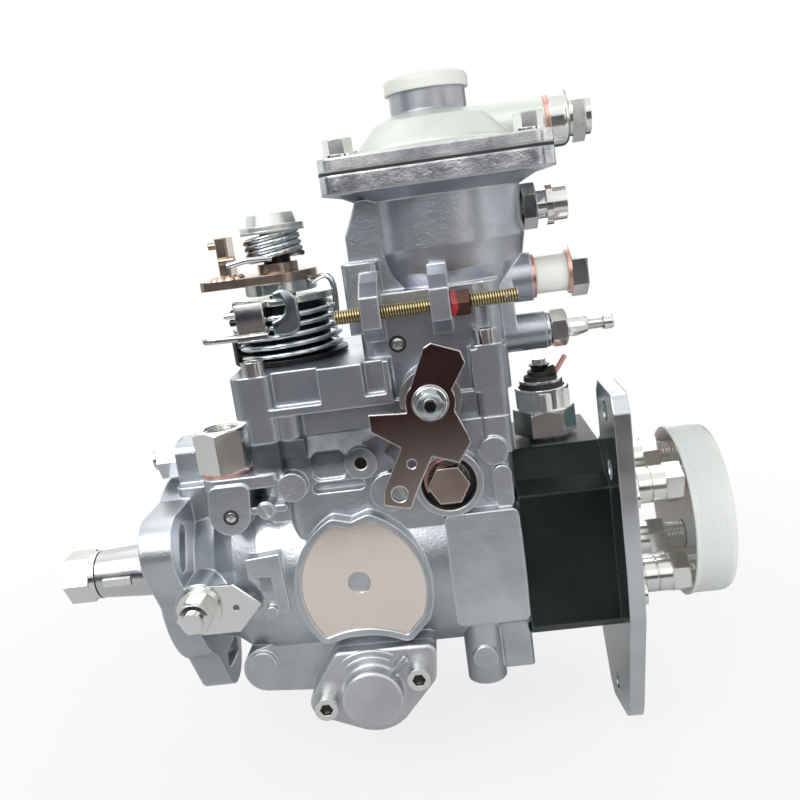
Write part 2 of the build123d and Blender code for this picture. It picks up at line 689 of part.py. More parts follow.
holder_x0 = valve_seat_x + 8
valve_bore_x = holder_x0 + valve_travel + 16
with BuildPart() as delivery_valve_holders:
    for y, z in outlets:
        bar(ALONG, holder_x0, head_x1, outlet_thread_r - seat_gap, (y, z))
        bar(ALONG, head_x1, outlet_hex_x, outlet_tube_r, (y, z))
        for x in outlet_grooves:
            bar(ALONG, x, x + 0.8, outlet_tube_r, (y, z), mode=Mode.SUBTRACT)
            bar(ALONG, x, x + 0.8, outlet_tube_r - 0.7, (y, z))
        hexagon(ALONG, outlet_hex_x, outlet_hex_x + outlet_hex_h, outlet_hex_af, (y, z), 30)
        bar(ALONG, outlet_hex_x + outlet_hex_h, outlet_end_x, outlet_tip_r, (y, z))
        bar(ALONG, holder_x0, valve_bore_x + 8, valve_r + 1, (y, z), mode=Mode.SUBTRACT)
        bar(ALONG, valve_bore_x + 8, outlet_end_x, 1.5, (y, z), mode=Mode.SUBTRACT)
        bar(ALONG, valve_seat_x, holder_x0 - face_gap, outlet_thread_r - seat_gap, (y, z))
        bar(ALONG, valve_seat_x, holder_x0, valve_r - 1.2 + run_gap, (y, z), mode=Mode.SUBTRACT)
delivery_valve_holders.part.label = "delivery_valve_holders"
export_step(delivery_valve_holders.part, "parts/delivery_valve_holders.step")

# Each delivery valve lifts off the seat ring below its holder
valve_names = [f"delivery_valve_{number}" for number in (1, 2, 3, 4)]
for name, (y, z) in zip(valve_names, outlets):
    with BuildPart() as delivery_valve:
        bar(ALONG, valve_seat_x + 1, holder_x0 + free_gap, valve_r - 1.2, (y, z))
        bar(ALONG, holder_x0 + free_gap, holder_x0 + 12, valve_r, (y, z))
        bar(ALONG, holder_x0 + 12, valve_bore_x, valve_r - 1.5, (y, z))
        chamfer(delivery_valve.edges().filter_by(GeomType.CIRCLE).group_by(Axis.X)[-1], 0.4)
    delivery_valve.part.label = name
    export_step(delivery_valve.part, f"parts/{name}.step")

bracket_x1 = head_x1 + bracket_t
with BuildPart() as rear_bracket:
    prism(ALONG, head_x1, bracket_x1, bracket_outline)
    fillet(rear_bracket.edges().filter_by(Axis.X), 4)
    bar(ALONG, head_x1, bracket_x1, 10, mode=Mode.SUBTRACT)
    for y, z in outlets:
        bar(ALONG, head_x1, bracket_x1, outlet_tube_r + 1, (y, z), mode=Mode.SUBTRACT)
    for y, z in head_screws:
        bar(ALONG, head_x1, bracket_x1, m6_r + hole_gap, (y, z), mode=Mode.SUBTRACT)
    for y, z in bracket_holes:
        bar(ALONG, head_x1, bracket_x1, bracket_hole_r, (y, z), mode=Mode.SUBTRACT)
rear_bracket.part.label = "rear_bracket"
export_step(rear_bracket.part, "parts/rear_bracket.step")

with BuildPart() as outlet_cup:
    bar(ALONG, cup_x0, cup_x1, cup_r)
    bar(ALONG, cup_x0, cup_x1 - cup_wall, cup_r - cup_wall, mode=Mode.SUBTRACT)
    for y, z in outlets:
        bar(ALONG, outlet_end_x + free_gap, cup_x1 - cup_wall, outlet_tip_r + 1.4, (y, z))
outlet_cup.part.label = "outlet_cup"
export_step(outlet_cup.part, "parts/outlet_cup.step")

# Governor: shaft, gear with its cage, four flyweights, sleeve and lever
governor_shaft_x1 = sleeve_x1 - 2
with BuildPart() as governor_shaft:
    bar(ALONG, -5, governor_shaft_x1, governor_shaft_r, (0, governor_z))
    hexagon(ALONG, -2, governor_boss_x, 17, (0, governor_z))
governor_shaft.part.label = "governor_shaft"
export_step(governor_shaft.part, "parts/governor_shaft.step")

cage_x0 = gear_x0 + gear_t
cage_x1 = cage_x0 + 3
pivot_x = cage_x1 + 3
ear_len = 6
weight_angles = [45 + 90 * number for number in range(4)]
swings = [Plane(origin=(pivot_x, *polar(flyweight_pivot_r, angle, (0, governor_z))), x_dir=(1, 0, 0),
                z_dir=(0, -sin(radians(angle)), cos(radians(angle)))) for angle in weight_angles]
weight_pin_half = 7.5
first_tooth = 270 + 180 / governor_teeth
with BuildPart() as governor_cage:
    prism(ALONG, gear_x0, cage_x0, [(y, z + governor_z) for y, z in gear_outline(governor_teeth, first_tooth)])
    bar(ALONG, cage_x0, cage_x1, cage_r, (0, governor_z))
    for angle in weight_angles:
        for side in (-1, 1):
            with BuildSketch(ALONG.offset(cage_x1)) as ear:
                with Locations(Location((0, governor_z), angle)):
                    with Locations((flyweight_pivot_r, side * 6.5)):
                        Rectangle(7, 2.4)
            extrude(ear.sketch, amount=ear_len)
    for swing in swings:
        bar(swing, -weight_pin_half - 1, weight_pin_half + 1, 1.5 + run_gap, mode=Mode.SUBTRACT)
    bar(ALONG, gear_x0, cage_x1, governor_shaft_r + run_gap, (0, governor_z), mode=Mode.SUBTRACT)
governor_cage.part.label = "governor_cage"
export_step(governor_cage.part, "parts/governor_cage.step")

# A flyweight: block outside the pivot, toe that pushes the sleeve, and its pin
weight_w = 10
for number, swing in enumerate(swings, 1):
    with BuildPart() as flyweight:
        with BuildSketch(swing.offset(-weight_w / 2)):
            Circle(2.4)
            Polygon((-1, -2.4), (-1, 2.4), (3, 3.5), (flyweight_len, 3.5), (flyweight_len, -5.5), (4, -5.5),
                    (3.6, -toe_reach + 1.5), (2.5, -toe_reach), (0.5, -toe_reach + 1), align=None)
        extrude(amount=weight_w)
        bar(swing, -weight_pin_half, weight_pin_half, 1.5)
    flyweight.part.label = f"flyweight_{number}"
    export_step(flyweight.part, f"parts/flyweight_{number}.step")

sleeve_flange_x = pivot_x + 4 + free_gap
with BuildPart() as governor_sleeve:
    bar(ALONG, sleeve_flange_x, sleeve_flange_x + 3, 9.5, (0, governor_z))
    bar(ALONG, sleeve_flange_x, sleeve_x1 - 3, sleeve_r - 1, (0, governor_z))
    bar(ALONG, sleeve_x1 - 5, sleeve_x1, sleeve_r, (0, governor_z))
    bar(ALONG, sleeve_flange_x, sleeve_x1, governor_shaft_r + run_gap, (0, governor_z), mode=Mode.SUBTRACT)
governor_sleeve.part.label = "governor_sleeve"
export_step(governor_sleeve.part, "parts/governor_sleeve.step")

lever_face_x = sleeve_x1 + free_gap
hook_z = 84
trunnion_y = lever_pivot_y - 0.5
with BuildPart() as governor_lever:
    with BuildSketch(NEAR.offset(-lever_w / 2)):
        with Locations((collar_x, lever_pivot_z)):
            Circle(6)
        Polygon((collar_x - 5, lever_pivot_z + 3), (lever_face_x, governor_z - 1), (lever_face_x, hook_z + 4),
                (lever_face_x + 4, hook_z + 4), (lever_face_x + 5, governor_z + 6),
                (collar_x + 5, lever_pivot_z + 3), align=None)
        Polygon((collar_x - 5, lever_pivot_z), (collar_x + 5, lever_pivot_z), (collar_x + 1.6, ball_z + 3),
                (collar_x - 1.6, ball_z + 3), align=None)
    extrude(amount=lever_w)
    for side in (-1, 1):
        block(ALONG, lever_face_x - 1, collar_x + 6, 6, 16, (side * (lever_w / 2 + 0.5), ball_z + 8),
              mode=Mode.SUBTRACT)
    bar(UP, ball_z, ball_z + 5, 1.6, (collar_x, 0))
    with Locations((collar_x, 0, ball_z)):
        Sphere(ball_r)
    bar(NEAR, -trunnion_y, trunnion_y, 3, (collar_x, lever_pivot_z))
governor_lever.part.label = "governor_lever"
export_step(governor_lever.part, "parts/governor_lever.step")

# Timing device: piston across the shaft with a spring and a cover at each end
with BuildPart() as timing_piston:
    bar(NEAR, -piston_far_y, piston_near_y, piston_r, (timing_x, timing_z))
    with BuildSketch(UP.offset(timing_z - 5)) as slot:
        with Locations((timing_x, 0)):
            SlotCenterToCenter(4, 2 * (ball_joint_r + free_gap), rotation=90)
    extrude(slot.sketch, amount=piston_r + 6, mode=Mode.SUBTRACT)
    bar(NEAR, piston_near_y - 12, piston_near_y, piston_r - 2.5, (timing_x, timing_z), mode=Mode.SUBTRACT)
    bar(NEAR, -piston_far_y, -piston_far_y + 12, piston_r - 4, (timing_x, timing_z), mode=Mode.SUBTRACT)
timing_piston.part.label = "timing_piston"
export_step(timing_piston.part, "parts/timing_piston.step")

cap_r = 13
cap_face = 59
cap_bore_end = cap_face - 4
spring_seat_y = piston_near_y - 12 + free_gap
timing_coil = spring((timing_x, -spring_seat_y, timing_z), (0, -1, 0), 5.5, cap_bore_end - spring_seat_y - free_gap,
                     7, internal_wire, (0, 0, 1))
with BuildPart() as timing_spring:
    add(timing_coil)
timing_spring.part.label = "timing_spring"
export_step(timing_spring.part, "parts/timing_spring.step")

with BuildPart() as timing_covers:
    for side, face in ((1, cap_face), (-1, timing_half_w + timing_flange_t + 3)):
        start = side * timing_half_w
        flange_end = side * (timing_half_w + timing_flange_t)
        hull(NEAR, start, flange_end, timing_outline)
        bar(NEAR, flange_end, side * face, cap_r, (timing_x, timing_z))
        for x, z in timing_screws:
            bar(NEAR, start, flange_end, m6_r + hole_gap, (x, z), mode=Mode.SUBTRACT)
    bar(NEAR, timing_half_w, cap_bore_end, piston_r - 2.5, (timing_x, timing_z), mode=Mode.SUBTRACT)
timing_covers.part.label = "timing_covers"
export_step(timing_covers.part, "parts/timing_covers.step")

# Governor cover with the lever boss, the lugs and the boost tower
shaft_boss_r = 13
shaft_boss_top = 98
bush_bore = control_shaft_r + run_gap
lug_x = (109.4, 137)
lug_t = 7.7
lug_outline = [(-52.5, 108.5), (-52.5, 121), (-45, 126), (-36, 129), (-28, 129), (-28, 100), (-44, 103)]
left_boss_x = (98, 113.5)
tower_top = parting_z - lower_flange_t
bowl_r = 38
bowl_depth = 9
spring_well_r = 18
spring_well_z = 130
return_boss_r = 10.5
full_load_boss_r = 8
shoulder = [(101, block_top_z - 2), (101, 144.5), (107, 158), (tower_x, 158), (tower_x, block_top_z - 2)]
with BuildPart() as governor_cover:
    block(UP, joint_z, cover_low_z, chamber_x1 - chamber_x0, 2 * cover_skirt_half_w,
          ((chamber_x0 + chamber_x1) / 2, 0), 5)
    block(UP, cover_low_z, cover_top_z, cover_x1 - cover_x0, 2 * cover_half_w,
          ((cover_x0 + cover_x1) / 2, 0), 7)
    # Pockets between the corner columns and behind the stop lever
    for side in (-1, 1):
        for x0, x1, low, wall in ((61, 83.3, 79.5, cover_half_w - 5), (102, 110.5, 80.5, cover_half_w - 4),
                                  (113, 146.5, cover_low_z, block_half_w)):
            block(UP, low, cover_top_z, x1 - x0, 2 * (cover_half_w - wall),
                  ((x0 + x1) / 2, side * cover_half_w), 1.5, mode=Mode.SUBTRACT)
    block(UP, cover_top_z - 12, block_top_z, cover_x1 - cover_step_x, 2 * block_half_w,
          ((cover_x1 + cover_step_x) / 2, 0), 9)
    bar(UP, cover_top_z, shaft_boss_top, shaft_boss_r, (control_x, 0))
    bar(UP, cover_top_z, shaft_boss_top - 2, spring_drum_r + 2, (control_x, 0))
    with BuildSketch(Plane.XZ):
        with BuildLine():
            Polyline((tower_x, block_top_z - 8), (tower_x + 26, block_top_z - 8), (tower_x + 33, 126),
                     (tower_x + tower_r, 136), (tower_x + tower_r, 156.8), (tower_x + 44, tower_top),
                     (tower_x, tower_top), (tower_x, block_top_z - 8))
        make_face()
    revolve(axis=Axis((tower_x, 0, 0), (0, 0, 1)))
    block(UP, tower_top, parting_z, boost_side, boost_side, (tower_x, 0), 8)
    prism(NEAR, -23, 23, shoulder)
    block(UP, 104, 133.5, left_boss_x[1] - left_boss_x[0], 62, (sum(left_boss_x) / 2, 0), 4)
    bar(ALONG, 120, 177, return_boss_r, (return_y, return_z))
    bar(ALONG, 140, full_load_face, full_load_boss_r, (full_load_y, full_load_z))
    hull(ALONG, 140, 168, [(return_y, return_z, return_boss_r), (full_load_y, full_load_z, full_load_boss_r)])
    for x in lug_x:
        prism(ALONG, x - lug_t / 2, x + lug_t / 2, lug_outline)
    bar(NEAR, wall_start, stop_boss_face, stop_boss_r, (stop_x, stop_z))
    bar(NEAR, stop_boss_face, stop_neck_face, stop_shaft_r + 3.5, (stop_x, stop_z))
    for x, y, top in cover_screws:
        block(UP, joint_z, top, column_w, column_t, (x, y), 3)
    for y in (-post_y, post_y):
        bar(UP, joint_z, cover_low_z, post_r, (post_x, y))
    # Hollows
    block(UP, joint_z, cover_low_z, chamber_x1 - gear_room_x - chamber_wall,
          2 * (cover_skirt_half_w - chamber_wall), ((gear_room_x + chamber_x1 - chamber_wall) / 2, 0), 4,
          mode=Mode.SUBTRACT)
    block(UP, cover_low_z, cover_top_z - cover_wall, cover_x1 - cover_x0 - 2 * cover_wall,
          2 * (block_half_w - cover_wall), ((cover_x0 + cover_x1) / 2, 0), 4, mode=Mode.SUBTRACT)
    block(UP, cover_top_z - cover_wall, block_top_z - 14, 30, 42, (cover_step_x + cover_wall + 18, 0), 4,
          mode=Mode.SUBTRACT)
    bar(UP, parting_z - bowl_depth, parting_z, bowl_r, (tower_x, 0), mode=Mode.SUBTRACT)
    bar(UP, spring_well_z, parting_z, spring_well_r, (tower_x, 0), mode=Mode.SUBTRACT)
    bar(UP, cover_top_z - cover_wall, spring_well_z, boost_pin_r + run_gap, (tower_x, 0), mode=Mode.SUBTRACT)
    bar(UP, cover_top_z - cover_wall, shaft_boss_top, bush_bore, (control_x, 0), mode=Mode.SUBTRACT)
    bar(ALONG, 165, 177, 5, (return_y, return_z), mode=Mode.SUBTRACT)
    bar(ALONG, 126, full_load_face, full_load_r + seat_gap, (full_load_y, full_load_z), mode=Mode.SUBTRACT)
    bar(NEAR, wall_start - 5, stop_neck_face, stop_shaft_r + run_gap, (stop_x, stop_z), mode=Mode.SUBTRACT)
    for x in lug_x:
        bar(ALONG, x - lug_t, x + lug_t, m6_r + seat_gap, (speed_screw_y, speed_screw_z), mode=Mode.SUBTRACT)
    bar(ALONG, vent_x - 8, vent_x + 8, 5 + seat_gap, (0, vent_z), mode=Mode.SUBTRACT)
    for x, y in boost_corners:
        bar(UP, tower_top, parting_z, m6_r + seat_gap, (x, y), mode=Mode.SUBTRACT)
    for x, y, top in cover_screws:
        bar(UP, joint_z, top, m6_r + hole_gap, (x, y), mode=Mode.SUBTRACT)
        bar(UP, top, block_top_z, head_r + free_gap, (x, y), mode=Mode.SUBTRACT)
governor_cover.part.label = "governor_cover"
export_step(governor_cover.part, "parts/governor_cover.step")

# Boost compensator: cover dome, diaphragm, pin with plates, spring, screws and caps
upper_top = parting_z + upper_flange_t
air_y = 0
air_z = 181.5
air_x1 = 190
with BuildPart() as boost_cover:
    block(UP, parting_z + diaphragm_t, upper_top, boost_side, boost_side, (tower_x, 0), 8)
    with BuildSketch(Plane.XZ):
        with BuildLine():
            Polyline((tower_x, upper_top), (tower_x + 40, upper_top), (tower_x + dome_base_r, upper_top + 2),
                     (tower_x + 24, dome_top_z - 3), (tower_x + nose_r, dome_top_z), (tower_x + nose_r, nose_top_z),
                     (tower_x, nose_top_z), (tower_x, upper_top))
        make_face()
    revolve(axis=Axis((tower_x, 0, 0), (0, 0, 1)))
    bar(ALONG, tower_x + 10, air_x1, 9.5, (air_y, air_z))
    with BuildSketch(Plane.XZ):
        with BuildLine():
            Polyline((tower_x, parting_z), (tower_x + bowl_r, parting_z), (tower_x + bowl_r, upper_top),
                     (tower_x + 21, dome_top_z - 7), (tower_x + nose_r - 4, dome_top_z - 4),
                     (tower_x + nose_r - 4, nose_top_z - 2), (tower_x, nose_top_z - 2), (tower_x, parting_z))
        make_face()
    revolve(axis=Axis((tower_x, 0, 0), (0, 0, 1)), mode=Mode.SUBTRACT)
    bar(ALONG, tower_x + 20, air_x1, 5, (air_y, air_z), mode=Mode.SUBTRACT)
    for x, y in boost_corners:
        bar(UP, parting_z, upper_top, m6_r + hole_gap, (x, y), mode=Mode.SUBTRACT)
boost_cover.part.label = "boost_cover"
export_step(boost_cover.part, "parts/boost_cover.step")

with BuildPart() as boost_diaphragm:
    block(UP, parting_z, parting_z + diaphragm_t, boost_side, boost_side, (tower_x, 0), 8)
    bar(UP, parting_z, parting_z + diaphragm_t, boost_pin_r + 1, (tower_x, 0), mode=Mode.SUBTRACT)
    for x, y in boost_corners:
        bar(UP, parting_z, parting_z + diaphragm_t, m6_r + hole_gap, (x, y), mode=Mode.SUBTRACT)
boost_diaphragm.part.label = "boost_diaphragm"
export_step(boost_diaphragm.part, "parts/boost_diaphragm.step")

boost_pin_z0 = 99
with BuildPart() as boost_pin:
    bar(UP, boost_pin_z0 + 16, parting_z + 8, boost_pin_r, (tower_x, 0))
    with BuildSketch(Plane.XZ):
        with BuildLine():
            Polyline((tower_x, boost_pin_z0), (tower_x + 3.5, boost_pin_z0), (tower_x + boost_pin_r, boost_pin_z0 + 16),
                     (tower_x, boost_pin_z0 + 16), (tower_x, boost_pin_z0))
        make_face()
    revolve(axis=Axis((tower_x, 0, 0), (0, 0, 1)))
    bar(UP, parting_z - 2.5, parting_z, boost_plate_r, (tower_x, 0))
    bar(UP, parting_z + diaphragm_t, parting_z + diaphragm_t + 2.5, boost_plate_r, (tower_x, 0))
    hexagon(UP, parting_z + diaphragm_t + 2.5, parting_z + 8, 17, (tower_x, 0))
boost_pin.part.label = "boost_pin"
export_step(boost_pin.part, "parts/boost_pin.step")

boost_coil = spring((tower_x, 0, spring_well_z), (0, 0, 1), 14, parting_z - 2.5 - spring_well_z, 5, 3, (1, 0, 0))
with BuildPart() as boost_spring:
    add(boost_coil)
boost_spring.part.label = "boost_spring"
export_step(boost_spring.part, "parts/boost_spring.step")


# Control lever stack over the governor cover, and the governor spring it pulls
eccentric = 6
shaft_foot_z = cover_top_z - cover_wall - 0.5
lever_top_z = 133
lever_t = 4
cap_top_z = 158.5
drum_top_z = 120
hook_y = 25.8
low_tab_z = 107.5
low_tab = [(54, -28.8), (54, -26), (47, -24.5), (44, -16.5), (33, -16.5), (31, -18), (31, -20.5), (33, -22),
           (42, -22), (46, -28.8)]
with BuildPart() as control_shaft:
    bar(UP, shaft_foot_z, cap_top_z - 6, control_shaft_r, (control_x, 0))
    bar(UP, shaft_foot_z - 3, shaft_foot_z, 9, (control_x, 0))
    bar(UP, shaft_foot_z - 9, shaft_foot_z - 3, 2, (control_x + eccentric, 0))
    bar(UP, shaft_boss_top + free_gap, shaft_boss_top + 3, 15, (control_x, 0))
    bar(UP, shaft_boss_top + 3, drum_top_z, spring_drum_r - 2, (control_x, 0))
    bar(UP, drum_top_z, drum_top_z + 3, spring_drum_r + 2, (control_x, 0))
    # Stop block and hook outside the coils, each with an arm in to the drum's rim
    prism(UP, low_tab_z, low_tab_z + 3, low_tab)
    block(NEAR, hook_y, hook_y + 3.2, 13, 15, (control_x - 10, drum_top_z - 4.5), 1)
    block(NEAR, 17, hook_y, 13, 3, (control_x - 10, drum_top_z + 1.5), 0)
    hull(NEAR, hook_y + 0.8, hook_y + 4, [(control_x + 4, drum_top_z - 1, 5), (control_x + 3, drum_top_z - 10, 4)])
    block(NEAR, 17, hook_y + 0.8, 8, 3, (control_x + 4, drum_top_z + 1.5), 0)
control_shaft.part.label = "control_shaft"
export_step(control_shaft.part, "parts/control_shaft.step")

coil_low = shaft_boss_top - 2
control_coil = spring((control_x, 0, coil_low + free_gap), (0, 0, 1), control_spring_r,
                      drum_top_z - coil_low - 2 * free_gap, control_spring_turns, control_wire, (1, 0, 0))
with BuildPart() as control_spring:
    add(control_coil)
control_spring.part.label = "control_spring"
export_step(control_spring.part, "parts/control_spring.step")

lever_low_z = lever_top_z - lever_t
lever_tab_top = 151
with BuildPart() as control_lever:
    hull(UP, lever_low_z, lever_top_z, [(control_x, 0, 17), (control_x - 28, -8, 6), (control_x - 24, 10, 6)])
    block(UP, lever_top_z, lever_tab_top, 5, 14, (control_x - 21, -6), 1)
    bar(UP, drum_top_z + 4, lever_low_z, 16, (control_x, 0))
    bar(UP, lever_top_z, lever_top_z + 4, 9, (control_x, 0))
    bar(ALONG, control_x - 28, control_x - 18.5, 1.6, (-6, 148))
    bar(ALONG, control_x - 23, control_x - 16, 1.8, (-12, 141))
    bar(UP, drum_top_z + 4, lever_top_z + 4, control_shaft_r + seat_gap, (control_x, 0), mode=Mode.SUBTRACT)
control_lever.part.label = "control_lever"
export_step(control_lever.part, "parts/control_lever.step")

cap_low_z = 150.5
upper_coil = spring((control_x, 0, lever_top_z + 4.2), (0, 0, 1), 12.2, cap_low_z - lever_top_z - 4.4,
                    upper_spring_turns, 2.6, (1, 0, 0))
with BuildPart() as upper_spring:
    add(upper_coil)
upper_spring.part.label = "upper_spring"
export_step(upper_spring.part, "parts/upper_spring.step")

with BuildPart() as control_cap:
    bar(UP, cap_low_z, cap_low_z + 3, 14.2, (control_x, 0))
    with BuildSketch(UP.offset(cap_low_z + 3)):
        with Locations((control_x, 0)):
            Circle(11.4)
    extrude(amount=cap_top_z - cap_low_z - 3, taper=12)
    bar(UP, cap_low_z, cap_top_z - 3, control_shaft_r + seat_gap, (control_x, 0), mode=Mode.SUBTRACT)
control_cap.part.label = "control_cap"
export_step(control_cap.part, "parts/control_cap.step")

governor_coil = spring((control_x + eccentric + 3, 0, hook_z - 2), (1, 0, 0), 3.6,
                       lever_face_x - control_x - eccentric - 3.6, 8, 1.6, (0, 0, 1))
with BuildPart() as governor_spring:
    add(governor_coil)
governor_spring.part.label = "governor_spring"
export_step(governor_spring.part, "parts/governor_spring.step")

# Stop lever on its cross shaft
stop_inner_y = 28.6
stop_back = stop_lever_y
stop_front = stop_lever_y + stop_lever_t
with BuildPart() as stop_shaft:
    bar(NEAR, stop_inner_y, stop_neck_face + free_gap, stop_shaft_r, (stop_x, stop_z))
    bar(NEAR, stop_neck_face + free_gap, stop_back, 8, (stop_x, stop_z))
    bar(NEAR, stop_neck_face + free_gap, stop_neck_face + 1.6, 12.5, (stop_x, stop_z))
    bar(NEAR, stop_back, stop_front + 7, m6_r, (stop_x, stop_z))
    bar(NEAR, stop_front, stop_front + 1.5, 7.2, (stop_x, stop_z))
    hexagon(NEAR, stop_front + 1.5, stop_front + 6, 10, (stop_x, stop_z))
    block(NEAR, stop_inner_y - 4, stop_inner_y, 8, 5, (stop_x, stop_z + 2))
stop_shaft.part.label = "stop_shaft"
export_step(stop_shaft.part, "parts/stop_shaft.step")

with BuildPart() as stop_lever:
    with BuildSketch(NEAR.offset(stop_back)):
        with Locations((stop_x, stop_z)):
            Circle(10)
            Polygon((-8, 5), (0, 22), (3, 23.5), (14, 19), (15.5, 14), (9, 4), (9, -4), (13, -14), (14, -18),
                    (8.5, -26), (-2, -22), (-11, -38), (-13, -43), (-24, -40), (-23, -34), (-14, -17),
                    (-25, -9), (-25, -2), (-10, -3), align=None)
    extrude(amount=stop_lever_t)
    fillet(stop_lever.edges().filter_by(Axis.Y).group_by(Axis.Z)[0], 2)
    bar(NEAR, stop_back, stop_front, m6_r + seat_gap, (stop_x, stop_z), mode=Mode.SUBTRACT)
    bar(NEAR, stop_back, stop_front, 1.8, (stop_x - 10.5, stop_z - 24), mode=Mode.SUBTRACT)
    bar(NEAR, stop_back, stop_front, 3.2, (stop_x - 17, stop_z - 36), mode=Mode.SUBTRACT)
stop_lever.part.label = "stop_lever"
export_step(stop_lever.part, "parts/stop_lever.step")

# Speed screw through both lugs, full-load screw and their nuts
speed_screw_x0 = 94.5
speed_screw_x1 = 168
speed_nut_x = lug_x[1] + lug_t / 2
full_load_x0 = 126
full_load_neck_x = 198.5
full_load_x1 = 209.5
with BuildPart() as adjusting_screws:
    bar(ALONG, speed_screw_x0, speed_screw_x1, m6_r, (speed_screw_y, speed_screw_z))
    block(ALONG, speed_screw_x1 - 2, speed_screw_x1, 1, 7, (speed_screw_y, speed_screw_z), mode=Mode.SUBTRACT)
    bar(ALONG, full_load_x0, full_load_neck_x, full_load_r, (full_load_y, full_load_z))
    bar(ALONG, full_load_neck_x, full_load_x1, 2.6, (full_load_y, full_load_z))
adjusting_screws.part.label = "adjusting_screws"
export_step(adjusting_screws.part, "parts/adjusting_screws.step")

with BuildPart() as lock_nuts:
    hexagon(ALONG, speed_nut_x, speed_nut_x + 8, 10, (speed_screw_y, speed_screw_z))
    bar(ALONG, speed_nut_x, speed_nut_x + 8, m6_r + seat_gap, (speed_screw_y, speed_screw_z),
        mode=Mode.SUBTRACT)
    hexagon(ALONG, full_load_face, full_load_face + 9, 14, (full_load_y, full_load_z))
    bar(ALONG, full_load_face, full_load_face + 9, full_load_r + seat_gap, (full_load_y, full_load_z),
        mode=Mode.SUBTRACT)
lock_nuts.part.label = "lock_nuts"
export_step(lock_nuts.part, "parts/lock_nuts.step")

# Fuel shut-off solenoid in the top of the head
solenoid_top = 80
solenoid_foot_r = 8
solenoid_hex_z = 58
solenoid_case_z = 66
solenoid_bore_z = 60
plunger_gap = 3
with BuildPart() as solenoid_body:
    bar(UP, head_top_z - 10, head_top_z + 1.5, solenoid_foot_r, (solenoid_x, solenoid_y))
    hexagon(UP, head_top_z + 1.5, solenoid_hex_z, 24, (solenoid_x, solenoid_y))
    hexagon(UP, solenoid_hex_z, solenoid_case_z, 22.5, (solenoid_x, solenoid_y), 30)
    bar(UP, solenoid_hex_z + 0.5, solenoid_case_z + 1.5, 11.8, (solenoid_x, solenoid_y))
    bar(UP, solenoid_case_z, solenoid_case_z + 5, 9.5, (solenoid_x, solenoid_y))
    bar(UP, solenoid_case_z + 5, solenoid_top, 3, (solenoid_x, solenoid_y))
    bar(UP, head_top_z - 10, solenoid_bore_z, 4 + run_gap, (solenoid_x, solenoid_y), mode=Mode.SUBTRACT)
solenoid_body.part.label = "solenoid_body"
export_step(solenoid_body.part, "parts/solenoid_body.step")

with BuildPart() as solenoid_plunger:
    bar(UP, head_top_z - 12, solenoid_bore_z - plunger_gap, 4, (solenoid_x, solenoid_y))
    bar(UP, head_top_z - 14, head_top_z - 12, 2.5, (solenoid_x, solenoid_y))
solenoid_plunger.part.label = "solenoid_plunger"
export_step(solenoid_plunger.part, "parts/solenoid_plunger.step")

# Fuel and air fittings
with BuildPart() as fuel_inlet:
    bar(UP, deck_z - 10, deck_z + washer_t, inlet_seat_r - seat_gap, (inlet_x, inlet_y))
    hexagon(UP, deck_z + washer_t, inlet_top_z, inlet_af, (inlet_x, inlet_y), 30)
    bar(UP, inlet_top_z - inlet_thread_len, inlet_top_z, inlet_thread_r, (inlet_x, inlet_y), mode=Mode.SUBTRACT)
    bar(UP, deck_z - 10, inlet_top_z - inlet_thread_len, 3.5, (inlet_x, inlet_y), mode=Mode.SUBTRACT)
fuel_inlet.part.label = "fuel_inlet"
export_step(fuel_inlet.part, "parts/fuel_inlet.step")

with BuildPart() as vent_fitting:
    bar(ALONG, vent_x - 6, vent_x + 1, 5, (0, vent_z))
    hexagon(ALONG, vent_x + 1, vent_x + 7, 17, (0, vent_z), 30)
    bar(ALONG, vent_x + 7, vent_x + 11, 6, (0, vent_z))
    bar(ALONG, vent_x + 11, vent_x + 14, 9, (0, vent_z))
    bar(ALONG, vent_x + 14, vent_x + 20, 7.5, (0, vent_z))
vent_fitting.part.label = "vent_fitting"
export_step(vent_fitting.part, "parts/vent_fitting.step")

return_x = 177
banjo_r = 12
with BuildPart() as banjo_bolts:
    bar(ALONG, air_x1 - 8, air_x1 + 1.5, 5 - seat_gap, (air_y, air_z))
    bar(ALONG, air_x1 + 1.5, air_x1 + 10, banjo_r, (air_y, air_z))
    fillet(banjo_bolts.edges().filter_by(GeomType.CIRCLE).group_by(Axis.X)[-1], 3)
    bar(ALONG, air_x1 + 10, air_x1 + 11.2, banjo_r - 3.5, (air_y, air_z))
    hexagon(ALONG, air_x1 + 11.2, air_x1 + 16.5, 19, (air_y, air_z), 30)
    bar(ALONG, air_x1 + 16.5, air_x1 + 19, 8.5, (air_y, air_z))
    bar(ALONG, return_x - 10, return_x + 17, 5 - seat_gap, (return_y, return_z))
    hexagon(ALONG, return_x + 17, return_x + 23.5, 19, (return_y, return_z), 30)
banjo_bolts.part.label = "banjo_bolts"
export_step(banjo_bolts.part, "parts/banjo_bolts.step")

# White transit plastics: the cap on the nose and the sleeve on the return bolt
with BuildPart() as white_caps:
    bar(UP, nose_top_z - 1.5, nose_top_z + 5, nose_r + 1.6, (tower_x, 0))
    bar(UP, nose_top_z - 1.5, nose_top_z, nose_r + seat_gap, (tower_x, 0), mode=Mode.SUBTRACT)
    fillet(white_caps.edges().group_by(Axis.Z)[-1], 2.5)
    bar(ALONG, return_x + 1.5, return_x + 15.5, 8, (return_y, return_z))
    bar(ALONG, return_x + 1.5, return_x + 15.5, 5, (return_y, return_z), mode=Mode.SUBTRACT)
white_caps.part.label = "white_caps"
export_step(white_caps.part, "parts/white_caps.step")

